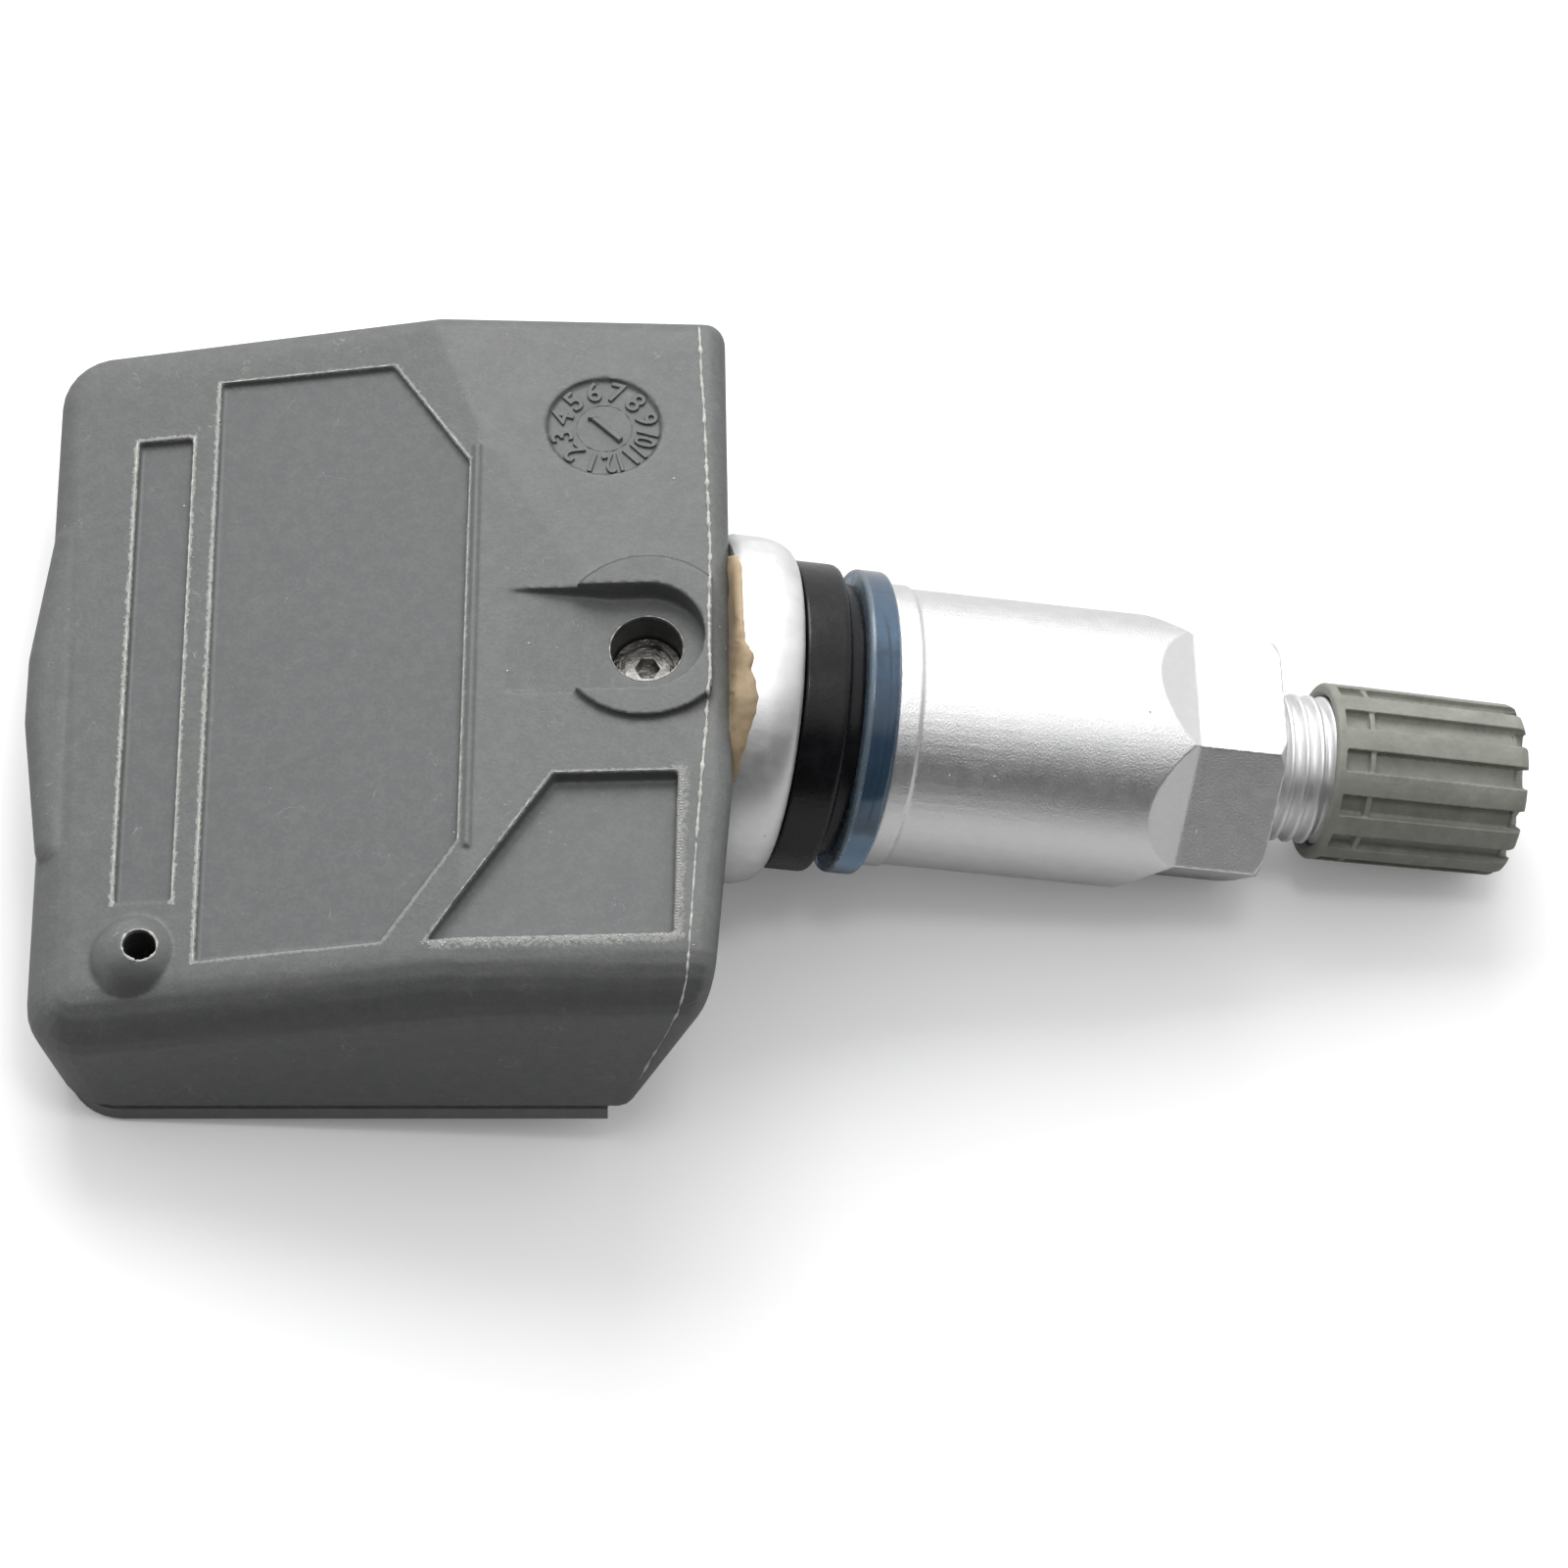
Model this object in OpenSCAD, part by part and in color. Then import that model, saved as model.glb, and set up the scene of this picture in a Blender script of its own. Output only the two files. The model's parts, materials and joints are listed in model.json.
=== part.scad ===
// Tyre pressure sensor: a moulded electronics housing on a clamp-in aluminium valve stem.
// It lies as it rests on a table, on the housing's low edge and on the sleeve nut.
// The housing's own frame has z = 0 on its underside and x = y = 0 under the screw hole,
// with the valve pointing to +X. The valve's own frame runs along its axis.

/* [Housing] */
// Depth of the housing across the valve
housing_depth = 40.3; // [36.5:0.2:44.5]
// Height of the deck above the underside, over the screw hole
deck_height = 13.6; // [13:0.1:15]
// Rise of the deck towards the valve, in degrees
deck_slope = 2.6; // [1:0.1:4]
// Rise of the label side towards the ridge, in degrees
label_slope = 11.8; // [10:0.1:13]
// Distance of the ridge from the screw hole
ridge_x = 8.7; // [8:0.1:10]
// Distance of the far end wall from the screw hole
far_x = 30.75; // [30.2:0.05:32]
// Lean of the far end wall, in degrees
far_lean = 10; // [6:0.5:12]
// Distance of the valve end from the screw hole, at the deck
end_x = 4.35; // [4:0.05:4.8]
// Lean of the valve end, in degrees
end_lean = 20.5; // [18:0.5:22]
// Set-back of the valve end at its front corner
end_front_setback = 0.7; // [0:0.05:1]
// Set-back of the valve end at its back corner
end_back_setback = 0.5; // [0.4:0.05:0.8]
// Thickness of the end web outside the mould line
end_web = 1.45; // [1:0.05:1.8]
// Wall of the housing
wall = 1.6; // [1.2:0.1:1.9]
// Fillet between the deck and the front wall
front_fillet = 3.2; // [2:0.1:3.6]
// Fillet between the deck and the back wall
back_fillet = 1.3; // [1.2:0.1:2.4]
// Edge radius at the valve end
end_fillet = 1; // [0.6:0.1:1.4]
// Radius of the far corners, seen from above
corner_radius = 3; // [2.4:0.1:3.4]
// How far the deck falls at the back corner beside the valve
facet_drop = 1.4; // [0.8:0.1:1.8]
// How far the cell bulge stands out of the far wall
bulge = 0.9; // [0.7:0.05:1.1]
// Half length of the cell bulge
bulge_half = 8.5; // [7.5:0.1:9.5]

/* [Deck details] */
// Depth of the label panel
label_depth = 0.3; // [0.15:0.05:0.5]
// Depth of the number strip
strip_depth = 0.4; // [0.2:0.05:0.6]
// Depth of the trapezoid pocket
pocket_depth = 0.8; // [0.4:0.1:1]
// Diameter of the date roundel
roundel_d = 5.9; // [5:0.1:6.4]
// Depth of the date roundel
roundel_depth = 0.3; // [0.15:0.05:0.5]
// Outer diameter of the raised C lip
lip_d = 9.2; // [8.6:0.1:9.6]
// Height of the C lip above the deck
lip_height = 0.4; // [0.2:0.05:0.6]
// Width of the ramped channel into the C lip
channel_w = 5.9; // [5:0.1:6.2]
// Depth of the channel at the screw hole
channel_depth = 1.1; // [0.8:0.05:1.4]
// Start of the ramp, from the screw hole
channel_start = 7.1; // [6:0.1:7.6]
// Diameter of the screw access hole
access_d = 3.6; // [3.5:0.05:4]
// Height of the rib along the ridge
ridge_rib_h = 0.15; // [0.1:0.05:0.3]
// Width of the rib along the ridge
ridge_rib_w = 0.45; // [0.3:0.05:0.6]
// Diameter of the pressure nipple
nipple_d = 4.3; // [3.8:0.1:4.6]
// Height of the pressure nipple above the deck
nipple_h = 1.2; // [0.9:0.05:1.5]
// Diameter of the pressure port
port_d = 1.6; // [1.2:0.05:2]

/* [Base cover] */
// Thickness of the base cover
cover_t = 1.1; // [0.8:0.1:1.3]
// Height of the groove between cover and housing
groove_h = 0.35; // [0.2:0.05:0.5]
// Depth of that groove
groove_depth = 0.6; // [0.3:0.05:0.8]
// Height of the cover's plug rim
plug_h = 0.8; // [0.6:0.05:1]
// Width of the cover's plug rim
plug_w = 1.2; // [0.8:0.1:1.6]
// Clearance between the plug and the housing
plug_clearance = 0.08; // [0.04:0.02:0.15]

/* [Electronics] */
// Thickness of the circuit board
board_t = 1; // [0.8:0.1:1.2]
// Clearance round the circuit board
board_clearance = 0.4; // [0.3:0.05:0.6]
// Diameter of the coin cell
cell_d = 20; // [18:0.1:20.2]
// Thickness of the coin cell
cell_t = 3.2; // [2.5:0.1:3.4]
// Distance of the cell's centre from the screw hole
cell_x = 19.3; // [19.2:0.05:19.5]
// Clearance round the coin cell
cell_clearance = 0.3; // [0.2:0.05:0.4]
// Height of the cell above the board
cell_lift = 0.6; // [0.5:0.05:0.8]
// Thickness of the solder tabs
tab_t = 0.2; // [0.15:0.05:0.25]
// Side of the pressure sensor package
sensor_w = 3.8; // [3.2:0.1:4]
// Height of the pressure sensor package
sensor_h = 1.8; // [1.4:0.1:2.2]
// Outer diameter of the port seal
seal_d = 3.2; // [2.6:0.1:3.6]
// Side of the transmitter chip
chip_w = 5; // [4:0.5:6]
// Length of the ferrite core
ferrite_l = 11; // [9:0.5:12]
// Width of the ferrite core's ends
ferrite_w = 3; // [2.6:0.1:3.2]

/* [Stem] */
// Height of the valve axis above the underside, under the screw hole
axis_height = 7.1; // [7:0.05:7.3]
// Droop of the valve below the underside's plane, in degrees
droop = 12.4; // [11:0.1:13]
// Diameter of the spigot held in the housing
spigot_d = 5.2; // [4.8:0.1:5.4]
// Length of the spigot behind the screw
spigot_tail = 3.2; // [2.8:0.1:3.4]
// Clearance between the spigot and its socket
socket_clearance = 0.04; // [0.02:0.01:0.08]
// Diameter of the domed flange
flange_d = 17.8; // [17.2:0.1:18.2]
// Diameter of the flange at its outer rim
flange_rim_d = 16; // [15.8:0.1:16.4]
// Distance of the flange's outer rim from the screw hole
flange_s = 6.4; // [6.2:0.1:6.8]
// Thickness of the flange
flange_t = 3.4; // [3.2:0.1:3.6]
// Pitch of the valve thread
thread_pitch = 0.794; // [0.75:0.001:0.85]
// Diameter of the bore for the valve core's head
core_bore_d = 5.3; // [5:0.1:5.4]
// Diameter of the air passage
air_d = 2; // [1.6:0.1:2.4]
// Diameter of the air port in the flange
air_port_d = 1.4; // [1:0.1:1.6]

/* [Grommet, washer and nut] */
// Diameter of the grommet
grommet_d = 15.8; // [15.2:0.1:16]
// Length of the grommet's wide part
grommet_wide = 2.5; // [2:0.1:2.8]
// Length of the grommet's narrow neck
grommet_neck = 0.9; // [0.6:0.1:1.2]
// Diameter of the grommet's neck
grommet_neck_d = 14; // [13.4:0.1:14.4]
// Diameter of the shank inside the grommet
shank_d = 9.2; // [8.6:0.1:9.8]
// Diameter of the washer
washer_d = 15.6; // [15.2:0.1:15.8]
// Thickness of the washer
washer_t = 1.6; // [1.4:0.1:2]
// Diameter of the nut's collar
collar_d = 14.5; // [14.3:0.02:14.7]
// Width of the nut's collar
collar_w = 1.2; // [1:0.05:1.5]
// Diameter of the nut's barrel
barrel_d = 14.2; // [14.1:0.02:14.3]
// Distance over the nut's flats
hex_af = 12; // [11.9:0.1:12.3]
// Length of the hexagon
hex_l = 4.65; // [4.2:0.05:5]
// Length of the sloped run-outs
runout_l = 2.2; // [1.8:0.1:2.6]
// Length of the nut
nut_l = 20.55; // [20:0.05:21]
// Running clearance of nut, washer and cap on the thread
thread_clearance = 0.05; // [0.02:0.01:0.08]
// Length of thread in the nut
nut_thread_l = 5.4; // [4.6:0.1:6]

/* [Cap and core] */
// Length of bare thread between nut and cap
bare_thread = 3.25; // [2.75:0.05:3.4]
// Length of the cap
cap_l = 10.4; // [10.2:0.1:10.8]
// Diameter over the ribs at the cap's tip
cap_tip_d = 9; // [8.9:0.05:9.1]
// How much wider the cap is at its mouth than at its tip
cap_flare = 0.2; // [0:0.05:0.4]
// Wall of the cap's tip, from the thread's clearance to the ribs
cap_wall = 0.6; // [0.52:0.01:0.68]
// Depth of the grooves between the ribs
cap_groove = 0.38; // [0.26:0.02:0.42]
// Width of the grooves between the ribs
cap_groove_w = 1.15; // [0.6:0.05:1.3]
// Number of ribs
cap_ribs = 12; // [10:1:14]
// Thickness of the cap's end wall
cap_end_t = 1.6; // [1.2:0.1:1.8]
// Thickness of the seal in the cap
cap_seal_t = 0.8; // [0.6:0.1:1]
// Length of the valve core's body
core_l = 14; // [13:0.5:15]
// Diameter of the core's pin
pin_d = 0.9; // [0.8:0.05:1]
// Travel of the core's pin
pin_travel = 1.2; // [1:0.1:1.4]
// Wire of the core's spring
spring_wire = 0.25; // [0.2:0.01:0.28]
// Turns of the core's spring
spring_turns = 6; // [5:1:7]

/* [Hidden] */
$fn = 64;
round_fn = 28;
past = 1;
hair = 0.01;

// Heights of the housing's top faces at a place x
function deck_z(x) = deck_height + x * tan(deck_slope);
function label_z(x) = deck_z(-ridge_x) + (x + ridge_x) * tan(label_slope);
// Height of the centre of a rounded corner that touches a face of a given slope
function tucked(z, slope, plan_r, edge_r) =
    z - ((plan_r - edge_r) * sin(slope) + edge_r) / cos(slope);
// Place of the valve end's face at a height z
function end_at(z) = end_x + end_fillet * (1 / cos(end_lean) - 1)
    - (deck_z(end_x) - end_fillet - z) * tan(end_lean);
// Place of the far wall's face at a height z
far_top_z = label_z(-far_x) - front_fillet / 2;
function far_at(z) = -far_x + (far_top_z - z) * tan(far_lean);

half_depth = housing_depth / 2;
body_z = cover_t + groove_h;
crease_back_y = half_depth - 7.45;
crease_back_x = -10.8;
crease_end_y = -8;
end_corner_r = 1.6;
bulge_flat_front = -1.5;
bulge_flat_back = 2;
bulge_r = 2.5;
draft = 0.2;

// Places of the deck's panels, from the front and back walls
label_front_y = 3.75 - half_depth;
label_back_y = half_depth - 3.3;
strip_front_y = 7.3 - half_depth;
strip_back_y = half_depth - 6.3;
pocket_front_y = 3.65 - half_depth;
pocket_back_y = -7.6;
ridge_rib_l = housing_depth - 17.3;

// Inner space
cavity_end = -5.2;
cavity_chamfer = 2;
ceiling = wall / cos(label_slope);

// Electronics
board_z = cover_t + plug_h;
top_of_board = board_z + board_t;
cell_z = top_of_board + cell_lift;
cell_r = cell_d / 2;
nipple_x = -25.3;
nipple_y = 4.4 - half_depth;
port_shift = 0.5;
port_boss_r = 2;
port_boss_z = top_of_board + sensor_h + 2.3;
ferrite_x = -14;
ferrite_y = half_depth - 5.4;
board_margin = 0.4;
board_front_y = wall + board_clearance + board_margin - half_depth;
chip_x = -15.2;
chip_y = board_front_y + chip_w / 2;

// Valve stations along its axis, from the screw hole's centre line
axis_lean = 90 + droop;
flange_back_s = flange_s - flange_t;
flange_recess = 0.3;
grommet_s = flange_s - flange_recess;
grommet_rim_s = flange_s + 0.12;
washer_s = flange_s + grommet_wide + grommet_neck;
nut_s = washer_s + washer_t + hair;
nut_chamfer = 0.6;
nut_end_s = nut_s + nut_l;
hex_s = nut_end_s - hex_l;
runout_s = hex_s - runout_l;
cap_s = nut_end_s + bare_thread;
cap_end_s = cap_s + cap_l;
cap_seal_s = cap_end_s - cap_end_t - cap_seal_t;
tip_s = cap_seal_s - 0.05;
core_top_s = tip_s - 0.8;
core_s = core_top_s - core_l;
pin_top_s = tip_s - 0.4;
thread_d = cap_tip_d - 2 * cap_wall - 2 * thread_clearance;
thread_r = thread_d / 2;
cap_mouth_d = cap_tip_d + cap_flare;
pin_r = pin_d / 2;
spigot_r = spigot_d / 2;

// Screw that locks the spigot: its head lies below the channel's floor
floor_z = deck_z(0) - channel_depth;
head_depth = 2.1;
screw_head_z = floor_z - head_depth;
screw_head_h = 1.6;
screw_head_r = access_d / 2 - 0.1;
screw_r = 1;
screw_l = 3.6;
screw_seat_z = screw_head_z - screw_head_h;

// Rest: the underside's far edge and the lowest point of the valve touch the table
hex_turn = 24;
hex_corner = hex_af / 2 / cos(30);
base_far_x = far_at(0) + 0.15;
function slope_to(s, r) = atan((s * sin(droop) + r * cos(droop) - axis_height)
    / (s * cos(droop) - r * sin(droop) - base_far_x));
rest_tilt = max(
    slope_to(flange_back_s + flange_t / 2, flange_d / 2),
    slope_to(washer_s + washer_t, collar_d / 2),
    slope_to(runout_s + 0.15, barrel_d / 2),
    slope_to(nut_end_s - nut_chamfer + barrel_d / 2 - hex_corner, hex_corner * cos(hex_turn)),
    slope_to(cap_end_s - 0.5, cap_tip_d / 2));
rest_lift = -base_far_x * sin(rest_tilt);
bulge_low = 1.1;
left_reach = -(far_x + bulge) * cos(rest_tilt) - (far_top_z - bulge_low) * sin(rest_tilt);
cap_tip_x = cap_end_s * cos(droop) + cap_tip_d / 2 * sin(droop);
cap_tip_z = axis_height - cap_end_s * sin(droop) + cap_tip_d / 2 * cos(droop);
right_reach = cap_tip_x * cos(rest_tilt) - cap_tip_z * sin(rest_tilt);
centre_x = (left_reach + right_reach) / 2;

// Places a piece given in the housing's frame
module at_rest() {
    translate([-centre_x, 0, rest_lift]) rotate([0, -rest_tilt, 0]) children();
}

// Places a piece given in the valve's frame, z along the axis
module on_axis() {
    translate([0, 0, axis_height]) rotate([0, axis_lean, 0]) children();
}

// Places a piece on the label side, x along the slope from the ridge
module on_label() {
    translate([-ridge_x, 0, deck_z(-ridge_x)]) rotate([0, -label_slope, 0]) children();
}

// Places a piece on the deck, z = 0 on its surface
module on_deck() {
    translate([0, 0, deck_height]) rotate([0, -deck_slope, 0]) children();
}

// A disc with a rounded edge
module round_disc(plan_r, edge_r) {
    rotate_extrude($fn = round_fn) intersection() {
        translate([plan_r - edge_r, 0]) circle(edge_r, $fn = round_fn);
        translate([0, -edge_r]) square([plan_r, 2 * edge_r]);
    }
}

// A corner pad under the label side
module label_pad(x, y, plan_r, edge_r) {
    translate([x, y, tucked(label_z(x), label_slope, plan_r, edge_r)]) round_disc(plan_r, edge_r);
}

// A corner pad along the leaning valve end, its outermost edge at x and its top at z
module end_pad(x, y, z, plan_r, edge_r) {
    reach = plan_r - edge_r;
    translate([x - edge_r - reach * sin(end_lean), y, z - edge_r - reach * cos(end_lean)])
        rotate([0, 90 + end_lean, 0]) round_disc(plan_r, edge_r);
}

// A thin foot of the body, at the groove
module foot(x, y, r) {
    translate([x, y, body_z]) cylinder(r = r, h = hair, $fn = round_fn);
}

// The outer form: flat faces over rounded edges
module body_form() {
    far_c = -far_x + corner_radius;
    edge_y = half_depth - draft;
    hull() {
        label_pad(far_c, -edge_y + corner_radius, corner_radius, corner_radius);
        label_pad(far_c, edge_y - corner_radius, corner_radius, back_fillet);
        translate([-ridge_x, front_fillet - edge_y, tucked(deck_z(-ridge_x), deck_slope, front_fillet, front_fillet)])
            sphere(front_fillet, $fn = round_fn);
        translate([-ridge_x, crease_back_y, deck_z(-ridge_x) - hair]) cylinder(r = hair, h = hair, $fn = round_fn);
        label_pad(crease_back_x, edge_y - back_fillet, back_fillet, back_fillet);
        end_pad(end_x - end_front_setback, front_fillet - edge_y, deck_z(end_x), front_fillet, end_fillet);
        end_pad(end_x, crease_end_y, deck_z(end_x), end_fillet, end_fillet);
        end_pad(end_x - end_back_setback, edge_y - end_corner_r, deck_z(end_x) - facet_drop, end_corner_r, end_fillet);
        foot(far_at(body_z) + corner_radius, -half_depth + corner_radius, corner_radius);
        foot(far_at(body_z) + corner_radius, half_depth - corner_radius, corner_radius);
        foot(end_at(body_z) - end_front_setback - end_fillet, -half_depth + end_fillet, end_fillet);
        foot(end_at(body_z) - end_fillet, crease_end_y, end_fillet);
        foot(end_at(body_z) - end_back_setback - end_fillet, half_depth - end_fillet, end_fillet);
    }
    hull() {
        for (y = [bulge_flat_front, bulge_flat_back]) {
            label_pad(-far_x - bulge + bulge_r, y, bulge_r, back_fillet);
            foot(far_at(body_z) - bulge + bulge_r, y, bulge_r);
        }
        for (y = [-bulge_half, bulge_half]) {
            label_pad(-far_x + bulge_r, y, bulge_r, back_fillet);
            foot(far_at(body_z) + bulge_r, y, bulge_r);
        }
    }
}

// Outline of the underside with rounded far corners, inset all round
module base_outline(far, end, inset) {
    r = corner_radius - inset;
    y = half_depth - inset;
    x0 = far + inset;
    x1 = end - inset;
    arc = [for (a = [0:10:90]) a];
    polygon(concat(
        [[x1, -y], [x1, y]],
        [for (a = arc) [x0 + r - r * sin(a), y - r + r * cos(a)]],
        [for (a = arc) [x0 + r - r * cos(a), r - y - r * sin(a)]]));
}

// Everything on the outer side of the mould line at the valve end
module beyond_mould_line(inset) {
    reach = 3 * deck_height;
    translate([end_at(0), 0, 0]) rotate([0, end_lean, 0])
        translate([-inset, -housing_depth, -reach]) cube([reach, 2 * housing_depth, 2 * reach]);
}

mould_line_x = end_at(0) - end_web / cos(end_lean);

// The inner space seen from above, with its corners cut off
module cavity_plan(gap) {
    x0 = far_at(body_z) + wall + gap;
    x1 = cavity_end - gap;
    y = half_depth - wall - gap;
    c = cavity_chamfer;
    polygon([[x0 + c, -y], [x1, -y], [x1, y], [x0 + c, y], [x0, y - c], [x0, c - y]]);
}

module cavity() {
    intersection() {
        rotate([90, 0, 0]) linear_extrude(housing_depth, center = true)
            polygon([
                [far_at(body_z) + wall - 1, 0],
                [far_at(body_z) + wall - 1, label_z(far_at(body_z) + wall - 1) - ceiling],
                [-ridge_x, deck_z(-ridge_x) - ceiling],
                [cavity_end, deck_z(cavity_end) - ceiling],
                [cavity_end, 0]]);
        linear_extrude(2 * deck_height) cavity_plan(0);
    }
    translate([-cell_x, 0, cell_z - cell_clearance])
        cylinder(r = cell_r + cell_clearance, h = cell_t + 2 * cell_clearance);
}

// Hollows beside the boss, open to the base cover, with one wall along the valve end
boss_wall = 3;
hollow_wall = 2.5;
module side_hollow(side) {
    y0 = spigot_r + boss_wall;
    y1 = half_depth - wall;
    x0 = cavity_end + wall;
    top = deck_z(cavity_end) - ceiling - (side > 0 ? facet_drop : pocket_depth);
    translate([0, side > 0 ? y1 : -y0, 0]) rotate([90, 0, 0]) linear_extrude(y1 - y0)
        polygon([[x0, 0], [end_at(0) - hollow_wall, 0], [end_at(top) - hollow_wall, top], [x0, top]]);
}

// Label panel, number strip and trapezoid pocket, cut square to their faces
module deck_recesses() {
    slope = 1 / cos(label_slope);
    on_label() translate([0, 0, -label_depth]) linear_extrude(past)
        polygon([for (p = [[-22.2, label_back_y], [-13.2, label_back_y - 0.1], [-9.15, label_back_y - 6.25],
            [-9.25, label_front_y + 5.3], [-12.9, label_front_y + 0.1], [-22.1, label_front_y]])
            [(p[0] + ridge_x) * slope, p[1]]]);
    on_label() translate([0, 0, -strip_depth]) linear_extrude(past)
        polygon([for (p = [[-26.4, strip_back_y], [-23.6, strip_back_y - 0.1], [-23.5, strip_front_y - 0.1],
            [-26.35, strip_front_y + 0.1]]) [(p[0] + ridge_x) * slope, p[1]]]);
    on_deck() translate([0, 0, -pocket_depth]) linear_extrude(pocket_depth + past)
        polygon([[-10.6, pocket_front_y], [-4.5, pocket_back_y], [1.65, pocket_back_y], [1.5, pocket_front_y]]);
}

// The sunk date roundel lies on the facet that falls to the back corner
facet_a = [-ridge_x, crease_back_y, deck_z(-ridge_x)];
facet_b = [end_x, crease_end_y, deck_z(end_x)];
facet_c = [end_x, half_depth - end_corner_r, deck_z(end_x) - facet_drop];
facet_n = cross(facet_b - facet_a, facet_c - facet_a);
roundel_x = -2.3;
roundel_y = half_depth - 7.35;
roundel_z = facet_a[2] - (facet_n[0] * (roundel_x - facet_a[0]) + facet_n[1] * (roundel_y - facet_a[1])) / facet_n[2];
module roundel_recess() {
    lean = atan2(norm([facet_n[0], facet_n[1]]), facet_n[2]);
    turn = atan2(facet_n[1], facet_n[0]);
    translate([roundel_x, roundel_y, roundel_z]) rotate([0, lean, turn])
        translate([0, 0, -roundel_depth]) cylinder(d = roundel_d, h = past);
}

// The ramped channel that leads to the screw hole
module channel_cut() {
    on_deck() intersection() {
        union() {
            cylinder(d = channel_w, h = 4 * channel_depth, center = true);
            translate([-channel_start - past, -channel_w / 2, -2 * channel_depth])
                cube([channel_start + past, channel_w, 4 * channel_depth]);
        }
        rotate([90, 0, 0]) linear_extrude(lip_d, center = true)
            polygon([[-channel_start, 0], [-access_d / 2, -channel_depth], [lip_d, -channel_depth],
                [lip_d, past], [-channel_start - past, past], [-channel_start - past, 0]]);
    }
}

module ridge_rib() {
    translate([-ridge_x - ridge_rib_w / 2, 0, deck_z(-ridge_x)]) rotate([90, 0, 0])
        linear_extrude(ridge_rib_l, center = true)
            polygon([[0, -ridge_rib_h], [ridge_rib_w, -ridge_rib_h], [ridge_rib_w * 0.8, ridge_rib_h],
                [ridge_rib_w * 0.2, ridge_rib_h]]);
}

// Domed pressure nipple, the cap of a larger ball
nipple_ball_r = (nipple_d * nipple_d / 4 + nipple_h * nipple_h) / (2 * nipple_h);
module nipple() {
    root = 3;
    translate([nipple_x, nipple_y, label_z(nipple_x)]) rotate([0, -label_slope, 0]) intersection() {
        translate([0, 0, nipple_h - nipple_ball_r]) sphere(nipple_ball_r);
        translate([0, 0, -root]) cylinder(d = nipple_d, h = root + nipple_h);
    }
}

module housing() {
    color([0.43, 0.44, 0.43]) at_rest() difference() {
        union() {
            difference() {
                union() {
                    body_form();
                    translate([0, 0, cover_t]) linear_extrude(groove_h + hair)
                        base_outline(base_far_x, mould_line_x, groove_depth);
                    c_lip();
                    ridge_rib();
                    nipple();
                    end_foot();
                }
                cavity();
                deck_recesses();
                roundel_recess();
                side_hollow(1);
                side_hollow(-1);
            }
            port_boss();
        }
        channel_cut();
        translate([0, 0, axis_height]) cylinder(d = access_d, h = deck_height);
        on_axis() translate([0, 0, -spigot_tail - socket_clearance])
            cylinder(r = spigot_r + socket_clearance, h = 2 * end_x + spigot_tail);
        translate([nipple_x + port_shift, nipple_y, 0]) cylinder(d = port_d, h = 2 * deck_height);
    }
}

// Raised C lip round the screw hole, stopped at the mould line
module c_lip() {
    difference() {
        on_deck() translate([0, 0, -channel_depth]) cylinder(d = lip_d, h = channel_depth + lip_height);
        on_deck() translate([-lip_d, -channel_w / 2, 0]) cube([lip_d, channel_w, lip_d]);
        beyond_mould_line(end_web);
    }
}

// Foot of the end web, beside the base cover
foot_z = 0.35;
module end_foot() {
    width = housing_depth - 2 * end_fillet;
    foot_w = end_web - plug_clearance;
    difference() {
        translate([end_at(0), 0, 0]) rotate([0, end_lean, 0])
            translate([-foot_w, -width / 2, -past]) cube([foot_w - end_front_setback, width, body_z + 2 * past]);
        translate([-half_depth, -housing_depth, -2 * past]) cube([housing_depth, 2 * housing_depth, foot_z + 2 * past]);
    }
}

// Ring under the ceiling that the port seal bears on
module port_boss() {
    translate([nipple_x + port_shift, nipple_y, port_boss_z])
        cylinder(r = port_boss_r, h = label_z(nipple_x + port_shift) - port_boss_z - wall / 2);
}

module base_cover() {
    color([0.36, 0.37, 0.36]) at_rest() union() {
        linear_extrude(cover_t) base_outline(base_far_x, mould_line_x - plug_clearance, 0);
        translate([0, 0, cover_t]) linear_extrude(plug_h) difference() {
            cavity_plan(plug_clearance);
            cavity_plan(plug_clearance + plug_w);
        }
    }
}

module circuit_board() {
    color([0.1, 0.32, 0.16]) at_rest() translate([0, 0, board_z])
        linear_extrude(board_t) cavity_plan(board_clearance);
}

// Coin cell: a can with its lid set in
module battery() {
    rim = 0.9;
    step = 0.35;
    color([0.8, 0.8, 0.78]) at_rest() translate([-cell_x, 0, cell_z]) rotate_extrude()
        polygon([[0, 0], [cell_r - rim - step, 0], [cell_r - rim, step], [cell_r - step, step],
            [cell_r, 2 * step], [cell_r, cell_t - step], [cell_r - step, cell_t], [0, cell_t]]);
}

// Strip over the cell, down to the board on the valve's side
module battery_tab_positive() {
    tab_w = 4;
    leg_x = cell_r + 0.6;
    color([0.75, 0.74, 0.7]) at_rest() translate([-cell_x, -tab_w / 2, 0]) {
        translate([cell_r / 2, 0, cell_z + cell_t]) cube([leg_x - cell_r / 2, tab_w, tab_t]);
        translate([leg_x - tab_t, 0, top_of_board]) cube([tab_t, tab_w, cell_z + cell_t + tab_t - top_of_board]);
    }
}

// Strip between the board and the cell's lid
module battery_tab_negative() {
    tab_w = 4;
    tab_l = 9;
    color([0.75, 0.74, 0.7]) at_rest() translate([-cell_x - tab_l / 2, -tab_w / 2, 0]) {
        translate([0, 0, cell_z - tab_t]) cube([tab_l, tab_w, tab_t]);
        for (x = [0, tab_l - tab_t])
            translate([x, 0, top_of_board]) cube([tab_t, tab_w, cell_lift]);
    }
}

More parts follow.
